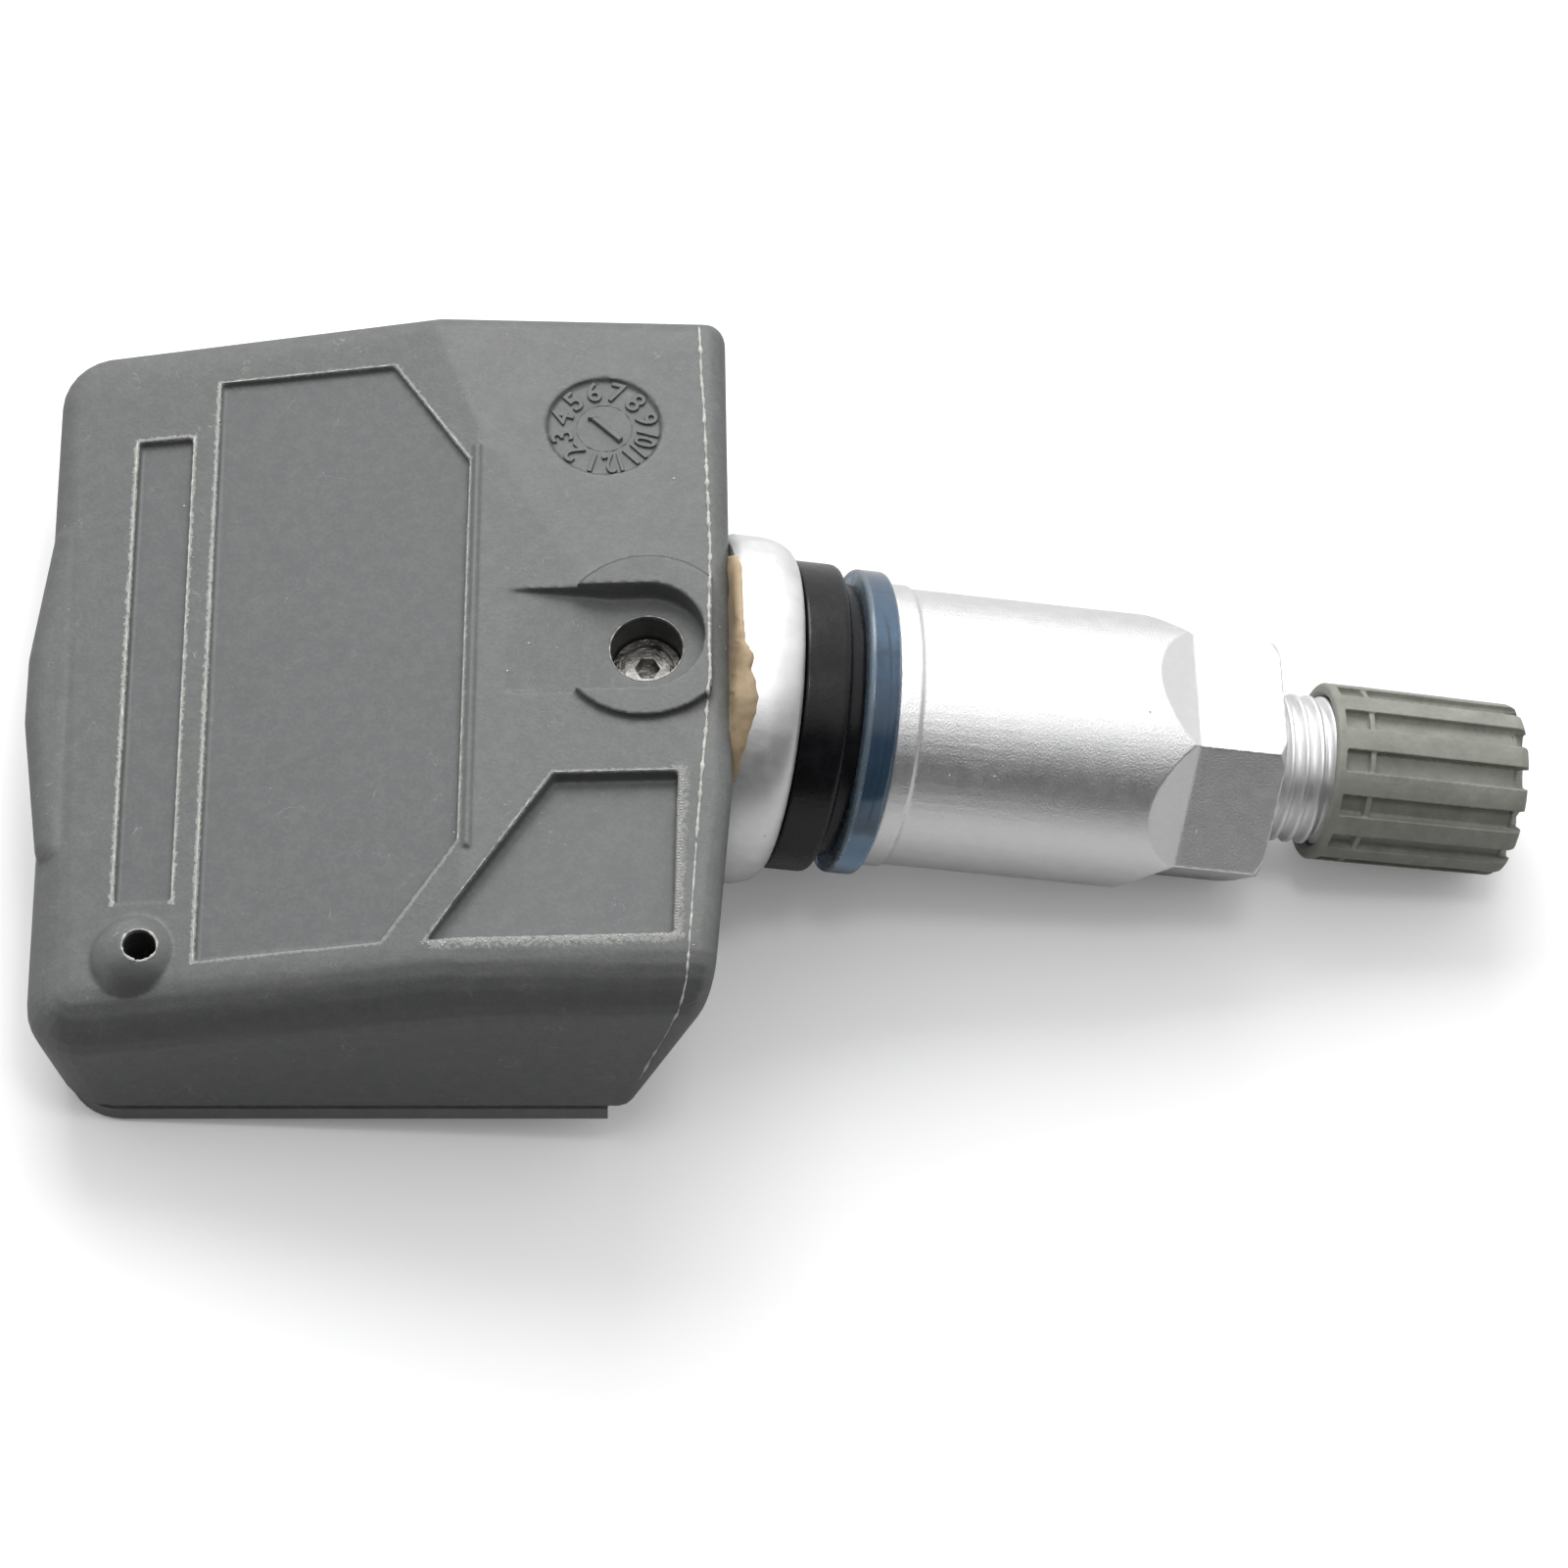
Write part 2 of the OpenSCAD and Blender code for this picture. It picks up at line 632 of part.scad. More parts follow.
module pressure_sensor_chip() {
    lid = 0.3;
    color([0.6, 0.6, 0.6]) at_rest() translate([nipple_x + port_shift, nipple_y, top_of_board]) difference() {
        union() {
            translate([-sensor_w / 2, -sensor_w / 2, 0]) cube([sensor_w, sensor_w, sensor_h - lid]);
            translate([lid - sensor_w / 2, lid - sensor_w / 2, sensor_h - lid])
                cube([sensor_w - 2 * lid, sensor_w - 2 * lid, lid]);
        }
        translate([0, 0, sensor_h / 2]) cylinder(d = port_d / 2, h = sensor_h);
    }
}

module port_seal() {
    color([0.15, 0.15, 0.15]) at_rest() translate([nipple_x + port_shift, nipple_y, top_of_board + sensor_h])
        difference() {
            cylinder(d = seal_d, h = port_boss_z - top_of_board - sensor_h);
            translate([0, 0, -past]) cylinder(d = port_d, h = deck_height);
        }
}

module transmitter_chip() {
    chip_h = 0.9;
    color([0.12, 0.12, 0.13]) at_rest() translate([chip_x, chip_y, top_of_board])
        translate([-chip_w / 2, -chip_w / 2, 0]) cube([chip_w, chip_w, chip_h]);
}

module crystal() {
    can = [3.2, 2.5, 0.8];
    color([0.78, 0.78, 0.76]) at_rest() translate([chip_x + chip_w, chip_y, top_of_board])
        translate([-can[0] / 2, -can[1] / 2, 0]) cube(can);
}

ferrite_end = 1.5;
ferrite_waist = 0.6;

// Dumbbell core of the wake-up coil
module ferrite_core() {
    color([0.25, 0.24, 0.24]) at_rest() translate([ferrite_x, ferrite_y, top_of_board]) {
        translate([-ferrite_l / 2, ferrite_waist - ferrite_w / 2, ferrite_waist])
            cube([ferrite_l, ferrite_w - 2 * ferrite_waist, ferrite_w - 2 * ferrite_waist]);
        for (x = [-ferrite_l / 2, ferrite_l / 2 - ferrite_end])
            translate([x, -ferrite_w / 2, 0]) cube([ferrite_end, ferrite_w, ferrite_w]);
    }
}

module coil_winding() {
    slack = 0.02;
    coil_l = ferrite_l - 2 * ferrite_end - 0.4;
    inner = ferrite_w - 2 * ferrite_waist + 2 * slack;
    outer = ferrite_w - 0.3;
    color([0.62, 0.34, 0.16]) at_rest() translate([ferrite_x - coil_l / 2, ferrite_y, top_of_board + ferrite_w / 2])
        rotate([90, 0, 90]) linear_extrude(coil_l) difference() {
            square([outer, outer], center = true);
            square([inner, inner], center = true);
        }
}

// Bent strip that radiates the signal, standing on two legs
module antenna_strip() {
    strip_l = housing_depth - 21.8;
    strip_t = 0.4;
    strip_h = 4.2;
    band_h = 1.6;
    leg_w = 1.4;
    color([0.78, 0.66, 0.36]) at_rest() translate([-7, -strip_l / 2, top_of_board]) {
        translate([0, 0, strip_h - band_h]) cube([strip_t, strip_l, band_h]);
        for (y = [0, strip_l - leg_w]) translate([0, y, 0]) cube([strip_t, leg_w, strip_h]);
    }
}

// Small resistors and capacitors in two columns beside the transmitter chip
module chip_components() {
    part_size = [1, 0.5, 0.5];
    column_x = chip_x - chip_w / 2 - 2.5;
    spacing = 1.1;
    color([0.55, 0.5, 0.42]) at_rest() for (column = [0, 1], i = [0:4])
        translate([column_x - column * 2, board_front_y + i * spacing, top_of_board]) cube(part_size);
}

// Half outline of the flange, its dome turned outward, grown by a gap
flange_r = flange_d / 2;
flange_edge = 0.4;
dome_s = flange_back_s + 1.6;
dome_in = (flange_d - flange_rim_d) / 2;
dome_l = flange_s - dome_s;
function flange_line(gap) = concat(
    [[flange_r - flange_edge, flange_back_s - gap], [flange_r + gap, flange_back_s + flange_edge]],
    [for (a = [0:15:90]) [flange_r + gap - dome_in * (1 - cos(a)), dome_s + dome_l * sin(a)]]);

// Turned stem: spigot, domed flange, shank and threaded tip with a stepped bore
module valve_stem() {
    edge = 0.4;
    recess_r = flange_rim_d / 2 - 0.45;
    chamfer = 0.6;
    core_deep = 6;
    color([0.8, 0.8, 0.81]) at_rest() difference() {
        on_axis() rotate_extrude() polygon(concat(
            [[0, -spigot_tail], [spigot_r - edge, -spigot_tail], [spigot_r, edge - spigot_tail],
                [spigot_r, flange_back_s]],
            flange_line(0),
            [[recess_r, flange_s], [recess_r, grommet_s], [shank_d / 2, grommet_s],
                [shank_d / 2, washer_s - hair], [thread_r, washer_s - hair],
                [thread_r, tip_s - chamfer], [thread_r - chamfer, tip_s], [0, tip_s]]));
        on_axis() translate([0, 0, core_top_s - core_deep]) cylinder(d = core_bore_d, h = core_deep + past);
        on_axis() translate([0, 0, core_s - 3 * past]) cylinder(d = core_bore_d - 1.2, h = core_l);
        on_axis() translate([0, 0, flange_s - flange_t / 2]) cylinder(d = air_d, h = tip_s - flange_s);
        on_axis() translate([0, 0, flange_s - flange_t / 2]) rotate([0, 90, 0])
            cylinder(d = air_port_d, h = flange_d);
        translate([0, 0, screw_seat_z]) cylinder(r = screw_head_r + 0.1, h = deck_height);
        translate([0, 0, screw_seat_z - screw_l - 0.4]) cylinder(r = screw_r + 0.02, h = deck_height);
    }
}

// Locking screw: ringed pan head with a sunk hexagon
module stem_screw() {
    ring = 0.35;
    ring_depth = 0.25;
    socket_r = 0.65;
    color([0.62, 0.6, 0.57]) at_rest() translate([0, 0, screw_seat_z]) difference() {
        union() {
            cylinder(r = screw_head_r, h = screw_head_h);
            translate([0, 0, -screw_l]) cylinder(r = screw_r, h = screw_l);
        }
        translate([0, 0, screw_head_h - ring_depth]) difference() {
            cylinder(r = screw_head_r - ring, h = past);
            cylinder(r = screw_head_r - 1.6 * ring, h = past);
        }
        translate([0, 0, screw_head_h / 2]) cylinder(r = socket_r, h = screw_head_h, $fn = 6);
    }
}

// Adhesive between the leaning end of the housing and the flange, with lumps over its rim
module adhesive_bead() {
    ring_r = 6.4;
    bead_r = 0.55;
    bead_from = -50;
    bead_sweep = 104;
    slack = 0.02;
    color([0.72, 0.63, 0.48]) at_rest() difference() {
        on_axis() union() {
            cylinder(r = ring_r, h = flange_back_s - slack);
            rotate([0, 0, 180 + bead_from]) rotate_extrude(angle = bead_sweep)
                translate([flange_r - 0.75, flange_back_s]) circle(bead_r, $fn = 24);
            for (lump = [[14, 0.72], [21, 0.82], [31, 0.95], [40, 0.8]]) rotate([0, 0, 180 + lump[0]])
                translate([flange_r - 0.45, 0, flange_back_s + 0.1]) sphere(lump[1], $fn = 24);
        }
        on_axis() translate([0, 0, -past]) cylinder(r = spigot_r + slack, h = flange_s + past);
        on_axis() rotate_extrude()
            polygon(concat([[0, flange_back_s - slack]], flange_line(slack), [[0, flange_s]]));
        housing_side();
    }
}

// Everything under the deck on the housing's side of its valve end
module housing_side() {
    reach = 3 * deck_height;
    intersection() {
        translate([end_at(0), 0, 0]) rotate([0, end_lean, 0])
            translate([-2 * reach + 0.02, -reach, -reach]) cube([2 * reach, 2 * reach, 2 * reach]);
        on_deck() translate([-reach, -reach, 0.02 - 2 * reach]) cube(2 * reach);
    }
}

module grommet() {
    edge = 0.5;
    lead = 0.2;
    r = grommet_d / 2;
    wide_end = flange_s + grommet_wide;
    seat_r = flange_rim_d / 2 - 0.55;
    color([0.07, 0.07, 0.07]) at_rest() on_axis() rotate_extrude() polygon([
        [shank_d / 2, grommet_s], [seat_r, grommet_s], [seat_r, grommet_rim_s], [r - lead, grommet_rim_s],
        [r, grommet_rim_s + lead], [r, wide_end - edge], [r - edge, wide_end],
        [grommet_neck_d / 2, wide_end], [grommet_neck_d / 2, washer_s - lead],
        [grommet_neck_d / 2 - lead, washer_s], [shank_d / 2, washer_s]]);
}

module washer() {
    edge = 0.25;
    r = washer_d / 2;
    bore_r = thread_r + thread_clearance;
    color([0.3, 0.42, 0.55, 0.8]) at_rest() on_axis() translate([0, 0, washer_s]) rotate_extrude() polygon([
        [bore_r, 0], [r - edge, 0], [r, edge], [r, washer_t - edge], [r - edge, washer_t], [bore_r, washer_t]]);
}

// Sleeve nut: collar, round barrel and hexagon joined by sloped flats
module hex_nut() {
    lead = 0.15;
    relief_r = thread_r + 0.55;
    barrel_r = barrel_d / 2;
    color([0.82, 0.82, 0.83]) at_rest() on_axis() difference() {
        translate([0, 0, nut_s]) rotate_extrude() polygon([
            [relief_r, 0], [collar_d / 2 - lead, 0], [collar_d / 2, lead],
            [collar_d / 2, collar_w], [barrel_r, collar_w + (collar_d / 2 - barrel_r)],
            [barrel_r, nut_l - nut_chamfer], [barrel_r - nut_chamfer, nut_l],
            [thread_r + thread_clearance + lead, nut_l], [thread_r + thread_clearance, nut_l - lead],
            [thread_r + thread_clearance, nut_l - nut_thread_l], [relief_r, nut_l - nut_thread_l - 0.5]]);
        for (i = [0:5]) rotate([0, 0, 60 * i + 30 + hex_turn])
            rotate([90, 0, 0]) linear_extrude(barrel_d, center = true)
                polygon([[barrel_r, runout_s], [hex_af / 2, hex_s], [hex_af / 2, nut_end_s + past],
                    [barrel_d, nut_end_s + past], [barrel_d, runout_s]]);
    }
}

core_head_l = 5;
core_barrel_d = 3.2;
core_seat_s = core_s + 4.5;
core_seal_l = 2;

// Valve core: threaded head with two flats, barrel and spring chamber
module core_body() {
    chamber_d = 2.3;
    chamber_l = core_l - core_head_l - 1;
    color([0.76, 0.62, 0.32]) at_rest() on_axis() difference() {
        union() {
            translate([0, 0, core_s]) cylinder(d = core_barrel_d, h = core_l);
            translate([0, 0, core_top_s - core_head_l]) cylinder(d = core_bore_d - 0.1, h = core_head_l - 1.5);
        }
        translate([0, 0, core_s + 1]) cylinder(d = chamber_d, h = chamber_l);
        translate([0, 0, core_s - past]) cylinder(d = pin_d + 0.1, h = core_l + 2 * past);
        for (side = [-1, 1]) translate([side > 0 ? 1 : -1 - core_bore_d, -core_bore_d / 2, core_top_s - 1.5])
            cube([core_bore_d, core_bore_d, 2]);
    }
}

module core_seal() {
    color([0.7, 0.15, 0.12]) at_rest() on_axis() translate([0, 0, core_seat_s]) difference() {
        cylinder(d1 = core_barrel_d + 0.5, d2 = core_bore_d - 1.3, h = core_seal_l);
        translate([0, 0, -past]) cylinder(d = core_barrel_d, h = core_seal_l + 2 * past);
    }
}

collar_z = core_l - core_head_l - 1;
core_cup_l = 1;

// Pin of the core, with the collar that the spring pushes on
module core_pin() {
    color([0.78, 0.7, 0.5]) at_rest() on_axis() {
        translate([0, 0, core_s - core_cup_l]) cylinder(r = pin_r, h = pin_top_s - core_s + core_cup_l);
        translate([0, 0, core_s + collar_z - 0.3]) cylinder(d = 2, h = 0.4);
    }
}

// Cup that closes the core's lower end
module core_cup() {
    color([0.2, 0.2, 0.2]) at_rest() on_axis() translate([0, 0, core_s - core_cup_l]) difference() {
        cylinder(d = core_barrel_d, h = core_cup_l);
        translate([0, 0, -past]) cylinder(r = pin_r, h = core_cup_l + 2 * past);
    }
}

// Helical wire round the pin
spring_low = 1 + spring_wire / 2 + 0.02;
spring_high = collar_z - 0.3 - spring_wire / 2 - 0.02;
module core_spring() {
    coil_r = 0.78;
    steps = 12;
    sides = 6;
    rings = spring_turns * steps;
    rise = (spring_high - spring_low) / rings;
    color([0.6, 0.6, 0.62]) at_rest() on_axis() translate([0, 0, core_s + spring_low]) polyhedron(
        points = [for (i = [0:rings], k = [0:sides - 1])
            let (turn = i * 360 / steps, around = k * 360 / sides,
                r = coil_r + spring_wire / 2 * cos(around))
            [r * cos(turn), r * sin(turn), i * rise + spring_wire / 2 * sin(around)]],
        faces = concat(
            [[for (k = [0:sides - 1]) k]],
            [for (i = [0:rings - 1], k = [0:sides - 1])
                let (a = i * sides + k, b = i * sides + (k + 1) % sides) [a, a + sides, b + sides, b]],
            [[for (k = [sides - 1:-1:0]) rings * sides + k]]));
}

// Ribbed plastic cap: a lip, a ring line across the grooves, and ribs to the tip
module cap() {
    mouth_r = cap_mouth_d / 2;
    tip_r = cap_tip_d / 2;
    lip_w = 0.5;
    ring_at = 2.1;
    ring_w = 0.3;
    ring_low = 0.12;
    lead = 0.25;
    first_rib = 5;
    bore_r = thread_r + thread_clearance;
    color([0.52, 0.53, 0.49]) at_rest() on_axis() translate([0, 0, cap_s]) difference() {
        union() {
            difference() {
                rotate_extrude() polygon([[0, 0], [mouth_r - lead / 2, 0], [mouth_r, lead / 2], [mouth_r, ring_at],
                    [tip_r, cap_l - 0.45], [tip_r - 0.1, cap_l - 0.15], [tip_r - 0.35, cap_l], [0, cap_l]]);
                for (i = [0:cap_ribs - 1]) rotate([0, 0, first_rib + (i + 0.5) * 360 / cap_ribs])
                    rotate([90, 0, 0]) linear_extrude(cap_groove_w, center = true)
                        polygon([[mouth_r - cap_groove, lip_w], [mouth_r + past, lip_w], [mouth_r + past, cap_l + past],
                            [tip_r - cap_groove, cap_l + past]]);
            }
            translate([0, 0, ring_at - ring_w]) rotate_extrude()
                polygon([[bore_r, 0], [mouth_r - ring_low, 0], [mouth_r - ring_low, ring_w], [bore_r, ring_w]]);
        }
        rotate_extrude() polygon([[0, -past], [bore_r + lead, -past], [bore_r + lead, 0], [bore_r, lead],
            [bore_r, cap_l - cap_end_t], [0, cap_l - cap_end_t]]);
    }
}

module cap_seal() {
    color([0.1, 0.1, 0.1]) at_rest() on_axis() translate([0, 0, cap_seal_s])
        cylinder(r = thread_r - 0.1, h = cap_seal_t - hair);
}

housing();
base_cover();
circuit_board();
battery();
battery_tab_positive();
battery_tab_negative();
pressure_sensor_chip();
port_seal();
transmitter_chip();
crystal();
ferrite_core();
coil_winding();
antenna_strip();
chip_components();
valve_stem();
stem_screw();
adhesive_bead();
grommet();
washer();
hex_nut();
core_body();
core_seal();
core_pin();
core_cup();
core_spring();
cap();
cap_seal();
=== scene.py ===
import json
import math
import bmesh
import bpy
from mathutils import Matrix, Vector, noise
from mathutils.bvhtree import BVHTree


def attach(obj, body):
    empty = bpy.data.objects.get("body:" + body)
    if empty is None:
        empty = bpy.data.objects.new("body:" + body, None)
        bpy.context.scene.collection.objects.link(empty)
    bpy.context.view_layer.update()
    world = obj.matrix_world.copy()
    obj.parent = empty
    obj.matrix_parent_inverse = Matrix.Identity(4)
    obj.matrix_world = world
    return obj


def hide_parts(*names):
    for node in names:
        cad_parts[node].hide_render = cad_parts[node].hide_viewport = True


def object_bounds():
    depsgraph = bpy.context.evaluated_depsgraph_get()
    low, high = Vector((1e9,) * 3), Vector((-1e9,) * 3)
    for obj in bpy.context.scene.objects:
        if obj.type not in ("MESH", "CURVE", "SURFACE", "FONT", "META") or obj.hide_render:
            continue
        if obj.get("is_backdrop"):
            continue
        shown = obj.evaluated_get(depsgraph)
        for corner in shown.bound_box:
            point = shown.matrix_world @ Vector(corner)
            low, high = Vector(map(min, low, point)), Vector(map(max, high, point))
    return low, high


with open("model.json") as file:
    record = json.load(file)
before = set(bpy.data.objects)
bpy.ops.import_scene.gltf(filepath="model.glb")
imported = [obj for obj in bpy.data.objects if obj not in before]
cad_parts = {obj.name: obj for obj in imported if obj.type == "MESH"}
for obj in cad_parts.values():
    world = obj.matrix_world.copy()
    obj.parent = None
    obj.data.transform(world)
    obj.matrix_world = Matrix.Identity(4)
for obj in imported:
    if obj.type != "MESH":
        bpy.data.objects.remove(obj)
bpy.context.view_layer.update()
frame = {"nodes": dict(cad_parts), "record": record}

nodes = frame["nodes"]
MM = 0.001

# Table, studio light and camera
# The sensor lies on a white table. A wide white sky lights it from above and behind, and is
# darker low in front, where the photographer stands. The camera looks down from the front.
scene = bpy.context.scene
scene.view_settings.view_transform = "Standard"


def put(tree, kind, sockets=None, **settings):
    """Adds a shader node. A socket given as a value is linked, anything else is set."""
    made = tree.nodes.new(kind)
    for name, value in settings.items():
        setattr(made, name, value)
    for name, value in (sockets or {}).items():
        if isinstance(value, bpy.types.NodeSocket):
            tree.links.new(value, made.inputs[name])
        else:
            made.inputs[name].default_value = value
    return made


def blend_colour(tree, mask, first, second):
    """Colour between first and second by a mask from 0 to 1."""
    mixed = put(tree, "ShaderNodeMix", {0: mask, 6: first, 7: second}, data_type="RGBA")
    return mixed.outputs[2]


def spread(tree, value, low, high, to_low=0.0, to_high=1.0, smooth=False):
    """Stretches low..high to to_low..to_high, clamped."""
    way = "SMOOTHSTEP" if smooth else "LINEAR"
    ranged = put(tree, "ShaderNodeMapRange", {
        "Value": value, "From Min": low, "From Max": high,
        "To Min": to_low, "To Max": to_high}, interpolation_type=way)
    return ranged.outputs["Result"]


def maths(tree, operation, *values, clamp=False):
    """One step on plain numbers."""
    made = put(tree, "ShaderNodeMath", dict(enumerate(values)), operation=operation, use_clamp=clamp)
    return made.outputs[0]


def vectors(tree, operation, first, second=None, scale=None, gives="Vector"):
    """One step on vectors, which gives a Vector or a plain Value."""
    sockets = {0: first}
    if second is not None:
        sockets[1] = second
    if scale is not None:
        sockets["Scale"] = scale
    return put(tree, "ShaderNodeVectorMath", sockets, operation=operation).outputs[gives]


def seen_plain(tree):
    """1 on a ray that leaves the camera, also through glass, and 0 on any other."""
    rays = put(tree, "ShaderNodeLightPath").outputs
    return maths(tree, "MAXIMUM", rays["Is Camera Ray"], rays["Is Transmission Ray"])


SKY_TURN = math.radians(44)
SKY_AIM = (0, math.cos(SKY_TURN), math.sin(SKY_TURN))
SKY_FRONT, SKY_BACK, SKY_DARK = 0.75, 0.27, 0.03
FRONT_SPAN, BACK_SPAN = (-0.02, 0.31), (0.30, 1.0)
studio = bpy.data.worlds.new("studio_sky")
studio.use_nodes = True
scene.world = studio
sky = studio.node_tree
sky.nodes.clear()
ray_way = put(sky, "ShaderNodeTexCoord").outputs["Generated"]
upward = vectors(sky, "DOT_PRODUCT", ray_way, SKY_AIM, gives="Value")
front_level = spread(sky, upward, *FRONT_SPAN, SKY_DARK, SKY_FRONT, smooth=True)
back_level = spread(sky, upward, *BACK_SPAN, 0.0, SKY_BACK)
sky_level = maths(sky, "ADD", front_level, back_level)
sky_strength = put(sky, "ShaderNodeMix", {0: seen_plain(sky), 2: sky_level, 3: 1.0}).outputs[0]
sky_light = put(sky, "ShaderNodeBackground", {"Color": (1, 1, 1, 1), "Strength": sky_strength})
put(sky, "ShaderNodeOutputWorld", {"Surface": sky_light.outputs[0]})

TABLE_HALF, TABLE_DROP = 0.9, 0.00003
TABLE_LIFT, TABLE_SEEN, TABLE_GREY = 0.13, (0.95, 0.95, 0.955, 1), (0.56, 0.56, 0.56, 1)
TABLE_ROUGH, TABLE_SPECULAR = 0.75, 0.2
table_mesh = bpy.data.meshes.new("table_top")
table_mesh.from_pydata(
    [(x * TABLE_HALF, y * TABLE_HALF, -TABLE_DROP) for x, y in ((-1, -1), (1, -1), (1, 1), (-1, 1))],
    [], [(0, 1, 2, 3)])
table = bpy.data.objects.new("table_top", table_mesh)
scene.collection.objects.link(table)
table_white = bpy.data.materials.new("table_white")
table_white.use_nodes = True
paint = table_white.node_tree
table_skin = paint.nodes["Principled BSDF"]
seen = seen_plain(paint)
paint.links.new(blend_colour(paint, seen, TABLE_GREY, TABLE_SEEN), table_skin.inputs["Base Color"])
table_skin.inputs["Roughness"].default_value = TABLE_ROUGH
table_skin.inputs["Specular IOR Level"].default_value = TABLE_SPECULAR
table_skin.inputs["Emission Color"].default_value = (1, 1, 1, 1)
paint.links.new(maths(paint, "MULTIPLY", seen, TABLE_LIFT), table_skin.inputs["Emission Strength"])
table_mesh.materials.append(table_white)
table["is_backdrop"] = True


def softbox(name, place, size, watts):
    """A square lamp that shines at the middle of the table."""
    lamp = bpy.data.lights.new(name, "AREA")
    lamp.shape, lamp.size, lamp.energy = "SQUARE", size, watts
    box = bpy.data.objects.new(name, lamp)
    box.location = place
    box.rotation_mode = "QUATERNION"
    box.rotation_quaternion = (-Vector(place)).to_track_quat("-Z", "Y")
    scene.collection.objects.link(box)


softbox("back_softbox", place=(-0.06, 0.29, 0.31), size=0.26, watts=1.15)
softbox("overhead_lamp", place=(0.02, -0.03, 0.40), size=0.07, watts=0.17)

mounts = {m["name"]: m for m in frame["record"]["mounts"]}
UNDERSIDE_MOUNT_X = -15.0
VALVE_MOUNT_S = 8.9
housing_up = -Vector(mounts["base_face"]["axis"])
housing_right = Vector((housing_up.z, 0, -housing_up.x))
housing_origin = Vector(mounts["base_face"]["pos_m"]) - housing_right * UNDERSIDE_MOUNT_X * MM
across = Vector((0, 1, 0))


def in_housing(x, y, z):
    """A point of the housing's own frame: z = 0 on its underside, the screw hole at x = y = 0."""
    return housing_origin + (housing_right * x + across * y + housing_up * z) * MM


CAMERA_TIP, CAMERA_SEAT = math.radians(28), (6.887, -146.58, 273.70)
PHOTO_SIDE, PHOTO_FOCAL, SENSOR_SIDE = 1601, 6100.0, 36.0
camera_data = bpy.data.cameras.new("camera")
camera_data.sensor_width = SENSOR_SIDE
camera_data.lens = PHOTO_FOCAL / PHOTO_SIDE * SENSOR_SIDE
camera_data.clip_start, camera_data.clip_end = 0.01, 10.0
camera = bpy.data.objects.new("camera", camera_data)
scene.collection.objects.link(camera)
camera_back = -math.sin(CAMERA_TIP) * across + math.cos(CAMERA_TIP) * housing_up
camera_up = math.cos(CAMERA_TIP) * across + math.sin(CAMERA_TIP) * housing_up
camera_place = in_housing(*CAMERA_SEAT)
camera.matrix_world = Matrix((housing_right, camera_up, camera_back)).transposed().to_4x4()
camera.matrix_world.translation = camera_place
scene.camera = camera

# Housing
# A shell of grey glass-filled plastic, moulded with a fine spark-eroded grain. Its sharp
# edges come out of the mould softly rounded, and the floors of its panels are smoother.


def new_group(name, inputs, outputs):
    """A shader group, its places on the object, its inputs and its outputs."""
    tree = bpy.data.node_groups.new(name, "ShaderNodeTree")
    for label, value in inputs:
        kind = "NodeSocketVector" if isinstance(value, tuple) else "NodeSocketFloat"
        tree.interface.new_socket(label, in_out="INPUT", socket_type=kind).default_value = value
    for label in outputs:
        tree.interface.new_socket(label, in_out="OUTPUT", socket_type="NodeSocketFloat")
    place = put(tree, "ShaderNodeTexCoord").outputs["Object"]
    return tree, place, tree.nodes.new("NodeGroupInput").outputs, tree.nodes.new("NodeGroupOutput").inputs


def clouds(tree, place, scale, detail, **more):
    """Noise over the surface. More may set its Roughness and Distortion."""
    sockets = {"Vector": place, "Scale": scale, "Detail": detail, **more}
    return put(tree, "ShaderNodeTexNoise", sockets).outputs[0]


# Moulded skin: grain height, broad mottling, and a mask of hairline scuffs
COARSE_SCALE, COARSE_HEIGHT, LINE_SCALE = 0.28, 0.7, 1.3
moulded_skin, place, given, result = new_group(
    "moulded_skin", [("Grain", 5200.0), ("Mottle", 420.0)], ["Height", "Mottle", "Scuffs"])
fine = clouds(moulded_skin, place, given["Grain"], 3.0, Roughness=0.62)
coarse = clouds(moulded_skin, place, maths(moulded_skin, "MULTIPLY", given["Grain"], COARSE_SCALE), 2.0)
height = maths(moulded_skin, "MULTIPLY_ADD", coarse, COARSE_HEIGHT, fine)
cloud = clouds(moulded_skin, place, given["Mottle"], 6.0, Roughness=0.66)
line_scale = maths(moulded_skin, "MULTIPLY", given["Mottle"], LINE_SCALE)
lines = clouds(moulded_skin, place, line_scale, 2.0, Distortion=1.6)
off_line = maths(moulded_skin, "ABSOLUTE", maths(moulded_skin, "SUBTRACT", lines, 0.5))
hairline = spread(moulded_skin, off_line, 0.002, 0.007, 1.0, 0.0)
patches = spread(moulded_skin, cloud, 0.54, 0.66)
moulded_skin.links.new(height, result["Height"])
moulded_skin.links.new(spread(moulded_skin, cloud, 0.32, 0.68), result["Mottle"])
moulded_skin.links.new(maths(moulded_skin, "MULTIPLY", hairline, patches), result["Scuffs"])


def plain_material(name, values):
    """A material whose shader sockets hold these values, its node tree and its shader."""
    made = bpy.data.materials.new(name)
    made.use_nodes = True
    skin = made.node_tree.nodes["Principled BSDF"]
    for socket, value in values.items():
        skin.inputs[socket].default_value = value
    return made, made.node_tree, skin


def finish_skin(tree, skin, colour, patches, rough, varies, height, depth):
    """Links a colour, a roughness that varies in patches, and a relief depth mm deep."""
    tree.links.new(colour, skin.inputs["Base Color"])
    tree.links.new(spread(tree, patches, 0, 1, rough - varies, rough + varies), skin.inputs["Roughness"])
    bumped = put(tree, "ShaderNodeBump", {"Strength": 1.0, "Distance": depth * MM, "Height": height})
    tree.links.new(bumped.outputs["Normal"], skin.inputs["Normal"])


FAINT_SPAN, FAINT, MOULDED_VARIES = (0.74, 1.02), 0.07, 0.06


